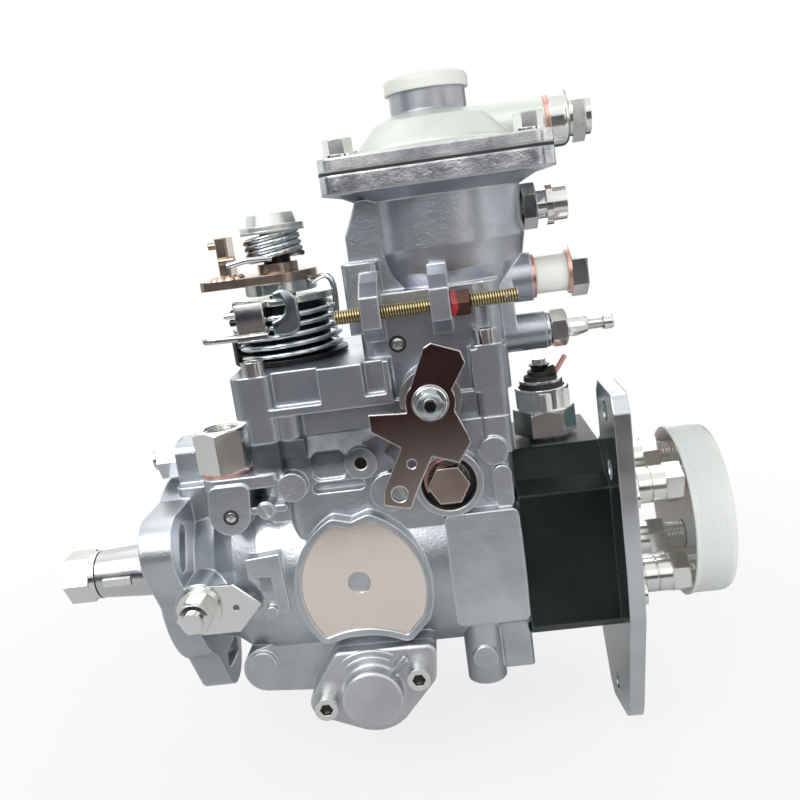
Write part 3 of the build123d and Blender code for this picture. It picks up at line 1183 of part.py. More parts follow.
with BuildPart() as seals:
    for x in (return_x, return_x + 15.5):
        bar(ALONG, x, x + 1.5, 9.5, (return_y, return_z))
        bar(ALONG, x, x + 1.5, 5, (return_y, return_z), mode=Mode.SUBTRACT)
    bar(UP, deck_z, deck_z + washer_t, inlet_af / 2 + 0.6, (inlet_x, inlet_y))
    bar(UP, deck_z, deck_z + washer_t, inlet_seat_r, (inlet_x, inlet_y), mode=Mode.SUBTRACT)
    bar(ALONG, air_x1, air_x1 + 1.5, 10, (air_y, air_z))
    bar(ALONG, air_x1, air_x1 + 1.5, 5, (air_y, air_z), mode=Mode.SUBTRACT)
    bar(ALONG, -pilot_len + 2, bush_x0, 17 - seat_gap)
    bar(ALONG, -pilot_len + 2, bush_x0, shaft_r + run_gap, mode=Mode.SUBTRACT)
seals.part.label = "seals"
export_step(seals.part, "parts/seals.step")

# Side plug, centre plug, lock bolt and plate, and the bare identification plate
with BuildPart() as plugs:
    bar(NEAR, 40, plug_face - plug_well_depth + 1.5, plug_r, (plug_x, plug_z))
    hexagon(NEAR, plug_face - plug_well_depth + 1.5, plug_face + 3, 15, (plug_x, plug_z))
    bar(ALONG, head_x1 - 4, head_x1 + 3, plunger_barrel_r - 2)
    bar(ALONG, head_x1 + 3, 213, 7)
plugs.part.label = "plugs"
export_step(plugs.part, "parts/plugs.step")

lock_plate_t = 1.5
lock_outline = [(12.5, 6), (17, 9.5), (35, 8.5), (46, -1.6), (35.2, -12.9), (19, -12.8), (12, -7)]
with BuildPart() as shaft_lock_plate:
    prism(NEAR, lock_face, lock_face + lock_plate_t, lock_outline)
    bar(NEAR, lock_face, lock_face + lock_plate_t, 4, (lock_x, lock_z), mode=Mode.SUBTRACT)
    bar(NEAR, lock_face, lock_face + lock_plate_t, 1.4, (35.3, -1.8), mode=Mode.SUBTRACT)
shaft_lock_plate.part.label = "shaft_lock_plate"
export_step(shaft_lock_plate.part, "parts/shaft_lock_plate.step")

with BuildPart() as side_plate:
    plate_prism(plate_face, plate_face + side_plate_t)
    bar(NEAR, plate_face, plate_face + side_plate_t, plate_hole_r, plate_hole, mode=Mode.SUBTRACT)
side_plate.part.label = "side_plate"
export_step(side_plate.part, "parts/side_plate.step")

# Screws: hexagon heads on the compensator, socket heads elsewhere
with BuildPart() as hex_screws:
    for x, y in boost_corners:
        bar(UP, upper_top, upper_top + washer_t, 6.4, (x, y))
        hexagon(UP, upper_top + washer_t, upper_top + washer_t + head_h, 10, (x, y))
        bar(UP, parting_z - 6, upper_top, m6_r, (x, y))
    bar(NEAR, 24, lock_face + lock_plate_t, 3.9, (lock_x, lock_z))
    bar(NEAR, lock_face + lock_plate_t, lock_face + lock_plate_t + 2, 9.5, (lock_x, lock_z))
    hexagon(NEAR, lock_face + lock_plate_t + 2, lock_face + 11, 13, (lock_x, lock_z))
    bar(NEAR, lock_face + 11, lock_face + 15, 4.5, (lock_x, lock_z))
hex_screws.part.label = "hex_screws"
export_step(hex_screws.part, "parts/hex_screws.step")

with BuildPart() as socket_screws:
    for side in (1, -1):
        for x, z in timing_screws:
            start = side * (timing_half_w + timing_flange_t)
            bar(NEAR, start, start + side * head_h, head_r, (x, z))
            bar(NEAR, side * (timing_half_w - 10), start, m6_r, (x, z))
            hexagon(NEAR, start + side * socket_depth, start + side * head_h, socket_af, (x, z),
                    mode=Mode.SUBTRACT)
    for y, z in head_screws:
        bar(ALONG, barrel_end_x - 10, bracket_x1, m6_r, (y, z))
        bar(ALONG, bracket_x1, bracket_x1 + head_h, head_r, (y, z))
        hexagon(ALONG, bracket_x1 + socket_depth, bracket_x1 + head_h, socket_af, (y, z), mode=Mode.SUBTRACT)
    for x, y, top in cover_screws:
        bar(UP, joint_z - 10, top, m6_r, (x, y))
        bar(UP, top, top + head_h, head_r, (x, y))
        hexagon(UP, top + socket_depth, top + head_h, socket_af, (x, y), mode=Mode.SUBTRACT)
socket_screws.part.label = "socket_screws"
export_step(socket_screws.part, "parts/socket_screws.step")
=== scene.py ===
from math import atan2, cos, pi, radians, sin, tan

import bpy
from mathutils import Matrix, Vector


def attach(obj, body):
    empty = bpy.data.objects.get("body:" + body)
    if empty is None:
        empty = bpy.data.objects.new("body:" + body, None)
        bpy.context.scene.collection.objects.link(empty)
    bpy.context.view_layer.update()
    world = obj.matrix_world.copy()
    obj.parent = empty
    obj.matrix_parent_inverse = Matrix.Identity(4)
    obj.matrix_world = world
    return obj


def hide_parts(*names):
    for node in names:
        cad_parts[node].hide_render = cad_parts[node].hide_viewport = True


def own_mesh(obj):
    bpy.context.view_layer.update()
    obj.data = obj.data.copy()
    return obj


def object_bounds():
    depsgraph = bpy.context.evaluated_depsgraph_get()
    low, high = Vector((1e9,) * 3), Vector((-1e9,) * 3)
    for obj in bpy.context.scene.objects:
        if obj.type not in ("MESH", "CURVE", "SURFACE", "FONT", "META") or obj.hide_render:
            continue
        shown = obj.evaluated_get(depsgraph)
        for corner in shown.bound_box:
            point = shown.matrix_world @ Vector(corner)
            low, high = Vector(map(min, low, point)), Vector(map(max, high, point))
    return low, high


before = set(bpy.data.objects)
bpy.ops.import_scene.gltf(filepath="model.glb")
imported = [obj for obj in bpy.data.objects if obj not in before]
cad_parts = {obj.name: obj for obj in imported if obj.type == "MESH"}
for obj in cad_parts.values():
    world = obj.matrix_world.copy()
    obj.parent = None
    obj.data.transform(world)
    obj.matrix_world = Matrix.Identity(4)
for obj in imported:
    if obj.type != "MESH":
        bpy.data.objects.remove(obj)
cad_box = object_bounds()

# The frame of the pump: X along the shaft, Z up, -Y near
X_AXIS = Vector((1, 0, 0))
Z_AXIS = Vector((0, 0, 1))
NEAR = Vector((0, -1, 0))
CORNERS = [(first, second) for first in (-1, 1) for second in (-1, 1)]

# Camera, at the photograph's angle
PHOTO_SIZE = 800
FOCAL_PIXELS = 872.2
CAMERA_PLACE = Vector((0.13932, -0.39102, 0.15141))
CAMERA_YAW = radians(3.87)
CAMERA_PITCH = radians(12.03)
CAMERA_ROLL = radians(7.9)
SENSOR = 36
NEAR_CLIP = 0.01


def make_camera():
    """A camera that looks along the photograph's line of sight, with its roll."""
    level = cos(CAMERA_PITCH)
    forward = Vector((-sin(CAMERA_YAW) * level, cos(CAMERA_YAW) * level, -sin(CAMERA_PITCH)))
    right = Vector((cos(CAMERA_YAW), sin(CAMERA_YAW), 0))
    down = forward.cross(right)
    rolled_right = right * cos(CAMERA_ROLL) + down * sin(CAMERA_ROLL)
    rolled_down = down * cos(CAMERA_ROLL) - right * sin(CAMERA_ROLL)
    turn = Matrix((rolled_right, -rolled_down, -forward)).transposed()
    data = bpy.data.cameras.new("camera")
    data.sensor_width = SENSOR
    data.lens = FOCAL_PIXELS / PHOTO_SIZE * SENSOR
    data.clip_start = NEAR_CLIP
    camera = bpy.data.objects.new("camera", data)
    camera.matrix_world = Matrix.Translation(CAMERA_PLACE) @ turn.to_4x4()
    bpy.context.scene.collection.objects.link(camera)
    bpy.context.scene.camera = camera


# Shader nodes
FLOAT = "NodeSocketFloat"
VECTOR = "NodeSocketVector"


def feed(tree, node, values):
    """Sets inputs of a node, each to a plain value or to another node's output."""
    for key, value in values.items():
        if isinstance(value, bpy.types.NodeSocket):
            tree.links.new(value, node.inputs[key])
        else:
            node.inputs[key].default_value = value


def add_node(tree, kind, values=None, **settings):
    """A node with its settings and its inputs."""
    node = tree.nodes.new(kind)
    for key, value in settings.items():
        setattr(node, key, value)
    feed(tree, node, values or {})
    return node


def calculated(tree, operation, *values):
    """The result of a calculation on plain values or outputs."""
    return add_node(tree, "ShaderNodeMath", dict(enumerate(values)), operation=operation).outputs[0]


def vector_result(tree, operation, *values):
    """The result of a calculation on vectors, which is a plain value for some of them."""
    node = add_node(tree, "ShaderNodeVectorMath", dict(enumerate(values)), operation=operation)
    return node.outputs["Value" if operation in ("LENGTH", "DOT_PRODUCT") else "Vector"]


def ranged(tree, value, start, end, low=0, high=1):
    """A value taken from one span to another, and held beyond both ends."""
    values = {"Value": value, "From Min": start, "From Max": end, "To Min": low, "To Max": high}
    return add_node(tree, "ShaderNodeMapRange", values).outputs["Result"]


def mixed(tree, factor, low, high):
    """A colour between two, by a factor."""
    low, high = [(*colour, 1) if isinstance(colour, tuple) else colour for colour in (low, high)]
    mix = add_node(tree, "ShaderNodeMix", {"Factor": factor, "A": low, "B": high}, data_type="RGBA")
    return mix.outputs["Result"]


def object_place(tree):
    """The place on a piece, in its own coordinates."""
    return add_node(tree, "ShaderNodeTexCoord").outputs["Object"]


def noise(tree, place, scale, detail=2, roughness=0.5):
    """Soft noise between 0 and 1."""
    values = {"Vector": place, "Scale": scale, "Detail": detail, "Roughness": roughness}
    return add_node(tree, "ShaderNodeTexNoise", values).outputs["Fac"]


def new_material(name):
    """An empty node material with its Principled BSDF."""
    material = bpy.data.materials.new(name)
    material.use_nodes = True
    tree = material.node_tree
    return material, tree, tree.nodes["Principled BSDF"]


# Studio
LIT_COLOUR = (0.2304, 0.2352, 0.24)
FLOOR_SHADE = (0.72, 0.72, 0.72, 1)
FLOOR_GAP = 0.001
FLOOR_Z = cad_box[0].z - FLOOR_GAP
CARD_Z = FLOOR_Z + 0.004
PUMP_CENTRE = (0.1, 0, 0.06)
CUP_CENTRE = (0.24, 0, 0)


def make_world():
    """White to the camera, to gloss and through glass, and a plain dim light for all else."""
    world = bpy.data.worlds.new("studio")
    bpy.context.scene.world = world
    world.use_nodes = True
    tree = world.node_tree
    ray = add_node(tree, "ShaderNodeLightPath").outputs
    seen = calculated(tree, "MAXIMUM", ray["Is Camera Ray"], ray["Is Glossy Ray"])
    seen = calculated(tree, "MAXIMUM", seen, ray["Is Transmission Ray"])
    feed(tree, tree.nodes["Background"], {"Color": mixed(tree, seen, LIT_COLOUR, (1, 1, 1))})


def make_floor():
    """A plain pale floor just under the pump, which the camera sees fade to white away from it."""
    bpy.ops.mesh.primitive_plane_add(size=8, location=(0.1, 0, FLOOR_Z))
    floor = bpy.context.object
    floor.name = "floor"
    material, tree, shader = new_material("floor_pale")
    feed(tree, shader, {"Base Color": FLOOR_SHADE, "Roughness": 0.9, "Specular IOR Level": 0.1})
    ray = add_node(tree, "ShaderNodeLightPath").outputs
    fade = ranged(tree, vector_result(tree, "LENGTH", object_place(tree)), 0.05, 0.42, 0.8, 1)
    factor = calculated(tree, "MULTIPLY", ray["Is Camera Ray"], fade)
    glow = add_node(tree, "ShaderNodeEmission")
    mix = add_node(tree, "ShaderNodeMixShader", {0: factor, 1: shader.outputs[0], 2: glow.outputs[0]})
    feed(tree, tree.nodes["Material Output"], {"Surface": mix.outputs[0]})
    floor.data.materials.append(material)


def facing(place, target):
    """The matrix of something at a place that looks at a target."""
    direction = Vector(target) - Vector(place)
    return Matrix.Translation(place) @ direction.to_track_quat("-Z", "Y").to_matrix().to_4x4()


def area_light(name, place, target, size, power, colour=(1, 1, 1)):
    """A soft rectangular lamp."""
    data = bpy.data.lights.new(name, "AREA")
    data.shape = "RECTANGLE"
    data.size, data.size_y = size
    data.energy = power
    data.color = colour
    lamp = bpy.data.objects.new(name, data)
    lamp.matrix_world = facing(place, target)
    bpy.context.scene.collection.objects.link(lamp)
    return lamp


def dark_card(name, place, target, size, colour):
    """A card that only reflections see, which gives bright metal its contrast."""
    bpy.ops.mesh.primitive_plane_add(size=1)
    card = bpy.context.object
    card.name = name
    card.matrix_world = facing(place, target) @ Matrix.Diagonal((*size, 1, 1))
    material, tree, shader = new_material(name)
    feed(tree, shader, {"Base Color": (*colour, 1), "Roughness": 1})
    card.data.materials.append(material)
    card.visible_camera = False
    card.visible_shadow = False
    card.visible_diffuse = False


def make_lights():
    """Four soft lamps, a small one for the cup, and the dark cards round the pump."""
    area_light("key", (-0.5, -0.9, 1.0), PUMP_CENTRE, (1.3, 1.0), 12.5)
    area_light("fill", (0.9, -0.8, 0.3), PUMP_CENTRE, (1.2, 1.4), 2.2, (1.0, 0.94, 0.90))
    area_light("top", (0.1, 0.5, 1.2), PUMP_CENTRE, (1.6, 1.0), 3.2)
    area_light("back", (0.2, 1.2, 0.4), PUMP_CENTRE, (1.4, 1.4), 3.2)
    cup_lamp = area_light("cup_side", (0.66, -0.42, 0.12), CUP_CENTRE, (0.35, 0.35), 1.3)
    cup_lamp.visible_glossy = False
    dark_card("card_floor", (0.1, -0.98, CARD_Z), (0.1, -0.98, 1), (2.0, 1.25), (0.13, 0.11, 0.11))
    dark_card("card_behind", (0.1, 0.62, CARD_Z), (0.1, 0.62, 1), (1.4, 0.8), (0.03, 0.07, 0.08))
    dark_card("card_front", (0.0, -1.75, 0.12), PUMP_CENTRE, (2.2, 0.42), (0.07, 0.07, 0.09))
    dark_card("card_near_left", (-0.85, -1.05, 0.16), PUMP_CENTRE, (0.42, 0.6), (0.015, 0.06, 0.07))
    dark_card("card_left", (-1.1, -0.5, 0.15), PUMP_CENTRE, (0.6, 1.2), (0.02, 0.08, 0.10))
    dark_card("card_right", (0.95, -0.75, 0.25), PUMP_CENTRE, (0.3, 0.9), (0.05, 0.06, 0.08))
    dark_card("card_back", (0.7, 0.9, 0.1), PUMP_CENTRE, (0.4, 1.3), (0.05, 0.06, 0.08))


# Shader node groups, each built once
def new_group(name, inputs, outputs):
    """A group from its inputs with their values and its outputs with their kinds."""
    group = bpy.data.node_groups.new(name, "ShaderNodeTree")
    for label, value in inputs.items():
        kind = VECTOR if isinstance(value, tuple) else FLOAT
        socket = group.interface.new_socket(label, in_out="INPUT", socket_type=kind)
        socket.default_value = value
    for label, kind in outputs.items():
        group.interface.new_socket(label, in_out="OUTPUT", socket_type=kind)
    return group, group.nodes.new("NodeGroupInput").outputs, group.nodes.new("NodeGroupOutput")


def make_soft_edge_group():
    """Rounded normals at corners, and a mask of where the surface bends."""
    group, given, result = new_group("soft_edges", {"Radius": 0.0008}, {"Normal": VECTOR, "Wear": FLOAT})
    rounded = add_node(group, "ShaderNodeBevel", {"Radius": given["Radius"]}, samples=6).outputs["Normal"]
    flat = add_node(group, "ShaderNodeNewGeometry").outputs["Normal"]
    bend = vector_result(group, "DOT_PRODUCT", rounded, flat)
    feed(group, result, {"Normal": rounded, "Wear": ranged(group, bend, 0.995, 0.86)})
    return group


def make_cast_group():
    """Grain, pits and swells of a cast surface: Height for a bump, Shade and Polish for its tone."""
    group, given, result = new_group("cast_grain", {"Grain": 900.0, "Blotch": 40.0},
                                     {"Height": FLOAT, "Shade": FLOAT, "Polish": FLOAT})
    place = object_place(group)
    fine = noise(group, place, given["Grain"], 3, 0.6)
    shade = ranged(group, noise(group, place, given["Blotch"], 4, 0.55), 0.3, 0.7)
    pit_scale = calculated(group, "MULTIPLY", given["Grain"], 0.35)
    pits = add_node(group, "ShaderNodeTexVoronoi", {"Vector": place, "Scale": pit_scale, "Randomness": 1})
    pit_depth = ranged(group, pits.outputs["Distance"], 0, 0.22, -0.6, 0)
    height = calculated(group, "ADD", fine, pit_depth)
    height = calculated(group, "MULTIPLY_ADD", noise(group, place, 110), 2.6, height)
    polish = calculated(group, "MULTIPLY", shade, fine)
    feed(group, result, {"Height": height, "Shade": shade, "Polish": polish})
    return group


def make_turned_group():
    """Marks of a lathe or a grinder, stretched along some axes, with a broad smear."""
    group, given, result = new_group("turned_marks", {"Stretch": (1, 1, 1), "Scale": 900.0},
                                     {"Height": FLOAT, "Shade": FLOAT})
    place = object_place(group)
    stretched = add_node(group, "ShaderNodeMapping", {"Vector": place, "Scale": given["Stretch"]})
    marks = noise(group, stretched.outputs["Vector"], given["Scale"])
    feed(group, result, {"Height": marks, "Shade": noise(group, place, 60, 3, 0.6)})
    return group


def make_place_group():
    """A mask that rises with the distance from a point, along the axes that are kept."""
    inputs = {"Point": (0, 0, 0), "Keep": (1, 1, 1), "From": 0.0, "To": 1.0, "Ragged": 0.0}
    group, given, result = new_group("place_mask", inputs, {"Mask": FLOAT})
    place = object_place(group)
    offset = vector_result(group, "SUBTRACT", place, given["Point"])
    distance = vector_result(group, "LENGTH", vector_result(group, "MULTIPLY", offset, given["Keep"]))
    shifted = calculated(group, "MULTIPLY_ADD", noise(group, place, 240, 4, 0.65), given["Ragged"], distance)
    feed(group, result, {"Mask": ranged(group, shifted, given["From"], given["To"])})
    return group


SOFT_EDGES = make_soft_edge_group()
PLACE_MASK = make_place_group()
CAST_GRAIN = make_cast_group()
TURNED_MARKS = make_turned_group()


def put_group(tree, group, **values):
    """The outputs of a node group, placed with its inputs."""
    return add_node(tree, "ShaderNodeGroup", values, node_tree=group).outputs


def patched(tree, colour, rough, patches):
    """Lays other colours and roughness over a finish, each where its place mask rises."""
    for values, low, high, roughness in patches:
        mask = put_group(tree, PLACE_MASK, **values)["Mask"]
        shade = put_group(tree, CAST_GRAIN, Grain=1400, Blotch=90)["Shade"]
        colour = mixed(tree, mask, colour, mixed(tree, shade, low, high))
        mix = add_node(tree, "ShaderNodeMix", {0: mask, 2: rough, 3: roughness}, data_type="FLOAT")
        rough = mix.outputs[0]
    return colour, rough


def bumped(tree, height, normal, strength, distance):
    """Rounded normals with a bump over them."""
    values = {"Height": height, "Normal": normal, "Strength": strength, "Distance": distance}
    return add_node(tree, "ShaderNodeBump", values).outputs["Normal"]


def cast_metal(name, dark, light, worn, edge, roughness, grain, bump, metallic, patches=()):
    """Cast or blasted metal with grain, blotches and brighter edges."""
    material, tree, shader = new_material(name)
    cast = put_group(tree, CAST_GRAIN, Grain=grain, Blotch=28)
    edges = put_group(tree, SOFT_EDGES, Radius=edge)
    colour = mixed(tree, edges["Wear"], mixed(tree, cast["Shade"], dark, light), worn)
    rough = ranged(tree, cast["Polish"], 0, 1, roughness + 0.08, roughness - 0.06)
    colour, rough = patched(tree, colour, rough, patches)
    normal = bumped(tree, cast["Height"], edges["Normal"], bump, 0.0002)
    feed(tree, shader, {"Base Color": colour, "Roughness": rough, "Metallic": metallic, "Normal": normal})
    return material


MARK_SCALE = 1500


def turned_metal(name, dark, light, roughness, stretch, edge=0.0004, bump=0.12, patches=(), worn=None):
    """Machined or plated metal with fine tool marks."""
    material, tree, shader = new_material(name)
    marks = put_group(tree, TURNED_MARKS, Stretch=stretch, Scale=MARK_SCALE)
    edges = put_group(tree, SOFT_EDGES, Radius=edge)
    rough = ranged(tree, marks["Shade"], 0.2, 0.8, roughness - 0.07, roughness + 0.07)
    colour, rough = patched(tree, mixed(tree, marks["Shade"], dark, light), rough, patches)
    if worn:
        colour = mixed(tree, edges["Wear"], colour, worn)
    normal = bumped(tree, marks["Height"], edges["Normal"], bump, 0.0001)
    feed(tree, shader, {"Base Color": colour, "Roughness": rough, "Metallic": 1, "Normal": normal})
    return material


def moulded_plastic(name, dark, light, roughness, edge=0.0006, transmission=0, scatter=0):
    """Moulded plastic or rubber, faintly uneven."""
    material, tree, shader = new_material(name)
    cast = put_group(tree, CAST_GRAIN, Grain=500, Blotch=60)
    edges = put_group(tree, SOFT_EDGES, Radius=edge)
    feed(tree, shader, {"Base Color": mixed(tree, cast["Shade"], dark, light), "Roughness": roughness,
                        "Transmission Weight": transmission, "Subsurface Weight": scatter,
                        "Subsurface Scale": 0.004,
                        "Normal": bumped(tree, cast["Height"], edges["Normal"], 0.05, 0.0002)})
    return material


# Tool marks: how far the grain is stretched along X, Y and Z
PLATED = (0.3, 0.3, 0.3)
TURNED = (1, 0.04, 0.04)

ALONG_Z = (0, 0, 1)


def patch(point, keep, start, end, low, high, roughness, ragged=0.0):
    """Another colour over part of a finish: where it lies, its two colours and its roughness."""
    values = {"Point": point, "Keep": keep, "From": start, "To": end, "Ragged": ragged}
    return values, low, high, roughness


# Places on the castings and plates that differ from the rest of their finish, and places of painted shade and
# painted reflection
FLANGE_EDGE = patch((0, 0, 0), ALONG_Z, 0.1618, 0.1632, (0.36, 0.37, 0.40), (0.92, 0.93, 0.95), 0.22, 0.0012)
UPPER_EDGE = patch((0, 0, 0.3), ALONG_Z, 0.1250, 0.1264, (0.44, 0.45, 0.48), (0.90, 0.91, 0.92), 0.24, 0.0012)
NOSE = patch((0.142, 0, 0), (1, 1, 0), 0.0172, 0.0166, (0.34, 0.35, 0.39), (0.50, 0.51, 0.55), 0.36)
# Painted shade: darkens the housing in the recess under the cover, where the cover's shadow falls
RECESS_PAINTED_SHADE = patch((0.078, -0.041, 0.0605), (0.25, 1, 1), 0.0125, 0.0085, (0.09, 0.10, 0.11),
               (0.17, 0.18, 0.19), 0.5, 0.002)
# Painted reflection: the stop lever turns dark brown towards its top, standing in for a dark reflection on its
# plate
LEVER_PAINTED_REFLECTION = patch((0.13, 0, 0.02), (0.25, 0, 1), 0.028, 0.056, (0.15, 0.085, 0.09),
                   (0.23, 0.135, 0.135), 0.12, 0.004)
LOWER_PLATE = patch((0, 0, 0.2), ALONG_Z, 0.0711, 0.0713, (0.50, 0.54, 0.55), (0.80, 0.82, 0.80), 0.2)
# Painted shade: the roots of the speed screw's thread are darker than its crests
THREAD_ROOT_SHADE = patch((0, -0.046, 0.114), (0, 1, 1), 0.0028, 0.0024, (0.07, 0.052, 0.022),
                     (0.14, 0.105, 0.048), 0.35)

# Castings: dark and light tones, worn edges, edge radius, roughness, grain, bump and metal
CAST = cast_metal("cast_aluminium", (0.40, 0.43, 0.47), (0.62, 0.65, 0.68), (0.92, 0.94, 0.95),
                  0.0012, 0.29, 900, 0.5, 0.92, (RECESS_PAINTED_SHADE,))
ROUND_CAST = cast_metal("rounded_aluminium", (0.44, 0.45, 0.48), (0.64, 0.65, 0.67), (0.86, 0.88, 0.89),
                        0.0026, 0.33, 900, 0.36, 0.9)
COVER = cast_metal("cover_aluminium", (0.36, 0.39, 0.44), (0.60, 0.62, 0.66), (0.92, 0.94, 0.95),
                   0.0012, 0.28, 900, 0.42, 0.92, (FLANGE_EDGE,))
DOME = cast_metal("dome_aluminium", (0.58, 0.61, 0.58), (0.70, 0.73, 0.68), (0.86, 0.88, 0.85),
                  0.0014, 0.46, 1300, 0.20, 0.8, (NOSE, UPPER_EDGE))
HEAD = cast_metal("head_steel", (0.006, 0.010, 0.010), (0.018, 0.026, 0.026), (0.16, 0.18, 0.18),
                  0.0008, 0.28, 1200, 0.22, 0.7)
DRUM = cast_metal("blacked_steel", (0.010, 0.010, 0.011), (0.022, 0.022, 0.024), (0.08, 0.08, 0.08),
                  0.0005, 0.32, 1400, 0.12, 0.6)
WEIGHTS = cast_metal("sintered_steel", (0.22, 0.22, 0.23), (0.30, 0.30, 0.31), (0.5, 0.5, 0.5),
                     0.0004, 0.5, 2000, 0.2, 0.85)

# Machined and plated metal: dark and light tones, roughness, marks, edge radius and bump
GROUND = turned_metal("ground_steel", (0.55, 0.56, 0.58), (0.70, 0.71, 0.72), 0.22, TURNED)
BRONZE = turned_metal("bearing_bronze", (0.55, 0.38, 0.18), (0.68, 0.50, 0.28), 0.3, TURNED)
BARE_PLATE = turned_metal("polished_plate", (0.86, 0.76, 0.68), (0.95, 0.88, 0.82), 0.16, (0.02, 1, 1),
                          0.0004, 0.05)
ZINC = turned_metal("bright_zinc", (0.68, 0.70, 0.68), (0.90, 0.91, 0.87), 0.15, PLATED, 0.0004, 0.06)
WARM_ZINC = turned_metal("warm_zinc", (0.56, 0.46, 0.40), (0.74, 0.62, 0.55), 0.2, PLATED, 0.0008, 0.06,
                         worn=(0.92, 0.86, 0.80))
PLATE_ZINC = turned_metal("plate_zinc", (0.50, 0.54, 0.57), (0.74, 0.76, 0.77), 0.22, (0.3, 0.3, 0.02),
                          0.0009, 0.10)
YELLOW = turned_metal("yellow_zinc", (0.62, 0.52, 0.30), (0.88, 0.79, 0.54), 0.26, PLATED, 0.0002, 0.05,
                      (THREAD_ROOT_SHADE,))
WIRE = turned_metal("spring_wire", (0.52, 0.55, 0.58), (0.80, 0.82, 0.82), 0.16, PLATED, 0.0003, 0.05)
CLIP = turned_metal("clip_steel", (0.34, 0.42, 0.45), (0.62, 0.68, 0.70), 0.18, PLATED, 0.0008, 0.06)
LEVER = turned_metal("lever_steel", (0.66, 0.61, 0.56), (0.84, 0.78, 0.72), 0.14, (0.2, 0.2, 0.2),
                     0.0010, 0.05, (LEVER_PAINTED_REFLECTION,), (0.93, 0.92, 0.90))
BLACK_STEEL = turned_metal("black_steel", (0.03, 0.028, 0.026), (0.07, 0.066, 0.06), 0.25, (0.2, 0.2, 0.2),
                           0.0003, 0.05)
BRONZED = turned_metal("bronzed_steel", (0.30, 0.235, 0.19), (0.52, 0.42, 0.35), 0.28, PLATED,
                       0.0006, 0.10, (LOWER_PLATE,))
SATIN = turned_metal("satin_cap", (0.66, 0.68, 0.66), (0.80, 0.81, 0.77), 0.36, PLATED, 0.0006, 0.06)
COPPER = turned_metal("copper_washer", (0.72, 0.38, 0.32), (0.85, 0.52, 0.46), 0.32, PLATED, 0.0003, 0.05)
WELD = turned_metal("weld_copper", (0.52, 0.36, 0.27), (0.86, 0.72, 0.60), 0.26, PLATED, 0.0003, 0.3)

# Plastic and rubber: dark and light tones, roughness, edge radius, transmission and scatter
WHITE = moulded_plastic("white_plastic", (0.86, 0.88, 0.83), (0.92, 0.93, 0.88), 0.38, 0.0010, 0.0, 0.1)
CLEAR = moulded_plastic("clear_plastic", (0.975, 0.985, 0.95), (0.99, 0.995, 0.975), 0.32, 0.0006, 0.2, 0.3)
RUBBER = moulded_plastic("diaphragm_rubber", (0.02, 0.02, 0.02), (0.035, 0.035, 0.035), 0.6)
PINK = moulded_plastic("pink_sleeve", (0.62, 0.30, 0.28), (0.78, 0.42, 0.38), 0.45, 0.0004)


def painted_nut():
    """A dark brown nut with red paint run over the side towards the lug."""
    material, tree, shader = new_material("painted_nut")
    marks = put_group(tree, TURNED_MARKS, Stretch=PLATED, Scale=MARK_SCALE)
    edges = put_group(tree, SOFT_EDGES, Radius=0.0004)
    bare = mixed(tree, marks["Shade"], (0.055, 0.028, 0.022), (0.10, 0.055, 0.045))
    place = object_place(tree)
    along = add_node(tree, "ShaderNodeSeparateXYZ", {0: place}).outputs["X"]
    paint_edge = calculated(tree, "MULTIPLY_ADD", noise(tree, place, 260), 0.006, along)
    paint = ranged(tree, paint_edge, 0.1462, 0.1470, 1, 0)
    feed(tree, shader, {"Base Color": mixed(tree, paint, bare, (0.42, 0.02, 0.03)), "Roughness": 0.25,
                        "Metallic": ranged(tree, paint, 0, 1, 1, 0), "Normal": edges["Normal"]})
    return material


MARKED = painted_nut()

FINISHES = {
    CAST: ["pump_housing"],
    ROUND_CAST: ["timing_covers"],
    COVER: ["governor_cover"],
    DOME: ["boost_cover"],
    HEAD: ["distributor_head"],
    DRUM: ["control_shaft", "control_collar", "roller_ring", "governor_lever"],
    GROUND: ["drive_shaft", "cam_plate", "cross_coupling", "plunger", "plunger_barrel", "feed_pump_liner",
             "feed_pump_rotor", "drive_gear", "governor_cage", "governor_shaft", "governor_sleeve",
             "timing_piston", "stop_shaft", "boost_pin", "delivery_valve_1", "delivery_valve_2",
             "delivery_valve_3", "delivery_valve_4", "solenoid_plunger"],
    WEIGHTS: ["flyweight_1", "flyweight_2", "flyweight_3", "flyweight_4"],
    ZINC: ["delivery_valve_holders", "shaft_nut", "shaft_lock_plate", "hex_screws", "socket_screws",
           "solenoid_body", "fuel_inlet", "banjo_bolts", "vent_fitting"],
    WARM_ZINC: ["plugs"],
    SATIN: ["control_cap"],
    PLATE_ZINC: ["rear_bracket"],
    LEVER: ["stop_lever"],
    BRONZED: ["control_lever"],
    WIRE: ["control_spring", "upper_spring", "governor_spring", "boost_spring", "timing_spring",
           "plunger_springs"],
    YELLOW: ["adjusting_screws"],
    MARKED: ["lock_nuts"],
    BRONZE: ["shaft_bush"],
    COPPER: ["seals"],
    WHITE: ["white_caps"],
    CLEAR: ["outlet_cup"],
    RUBBER: ["boost_diaphragm"],
    BARE_PLATE: ["side_plate"],
}
for finish, node_names in FINISHES.items():
    for node_name in node_names:
        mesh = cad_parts[node_name].data
        mesh.materials.clear()
        mesh.materials.append(finish)

# New pieces are drawn in millimetres up the Z axis and then put in place
MM = 0.001


def only(piece):
    """Selects one piece alone."""
    bpy.ops.object.select_all(action="DESELECT")
    piece.select_set(True)
    bpy.context.view_layer.objects.active = piece


def fix(piece):
    """Turns the piece's own place, turn and size into its mesh."""
    only(piece)
    bpy.ops.object.transform_apply(location=True, rotation=True, scale=True)


def apply_modifier(piece, kind, **settings):
    """Adds a modifier and applies it."""
    only(piece)
    modifier = piece.modifiers.new(kind.lower(), kind)
    for key, value in settings.items():
        setattr(modifier, key, value)
    bpy.ops.object.modifier_apply(modifier=modifier.name)


def edit(piece):
    """Opens a piece for editing, all of it selected."""
    only(piece)
    bpy.ops.object.mode_set(mode="EDIT")
    bpy.ops.mesh.select_all(action="SELECT")


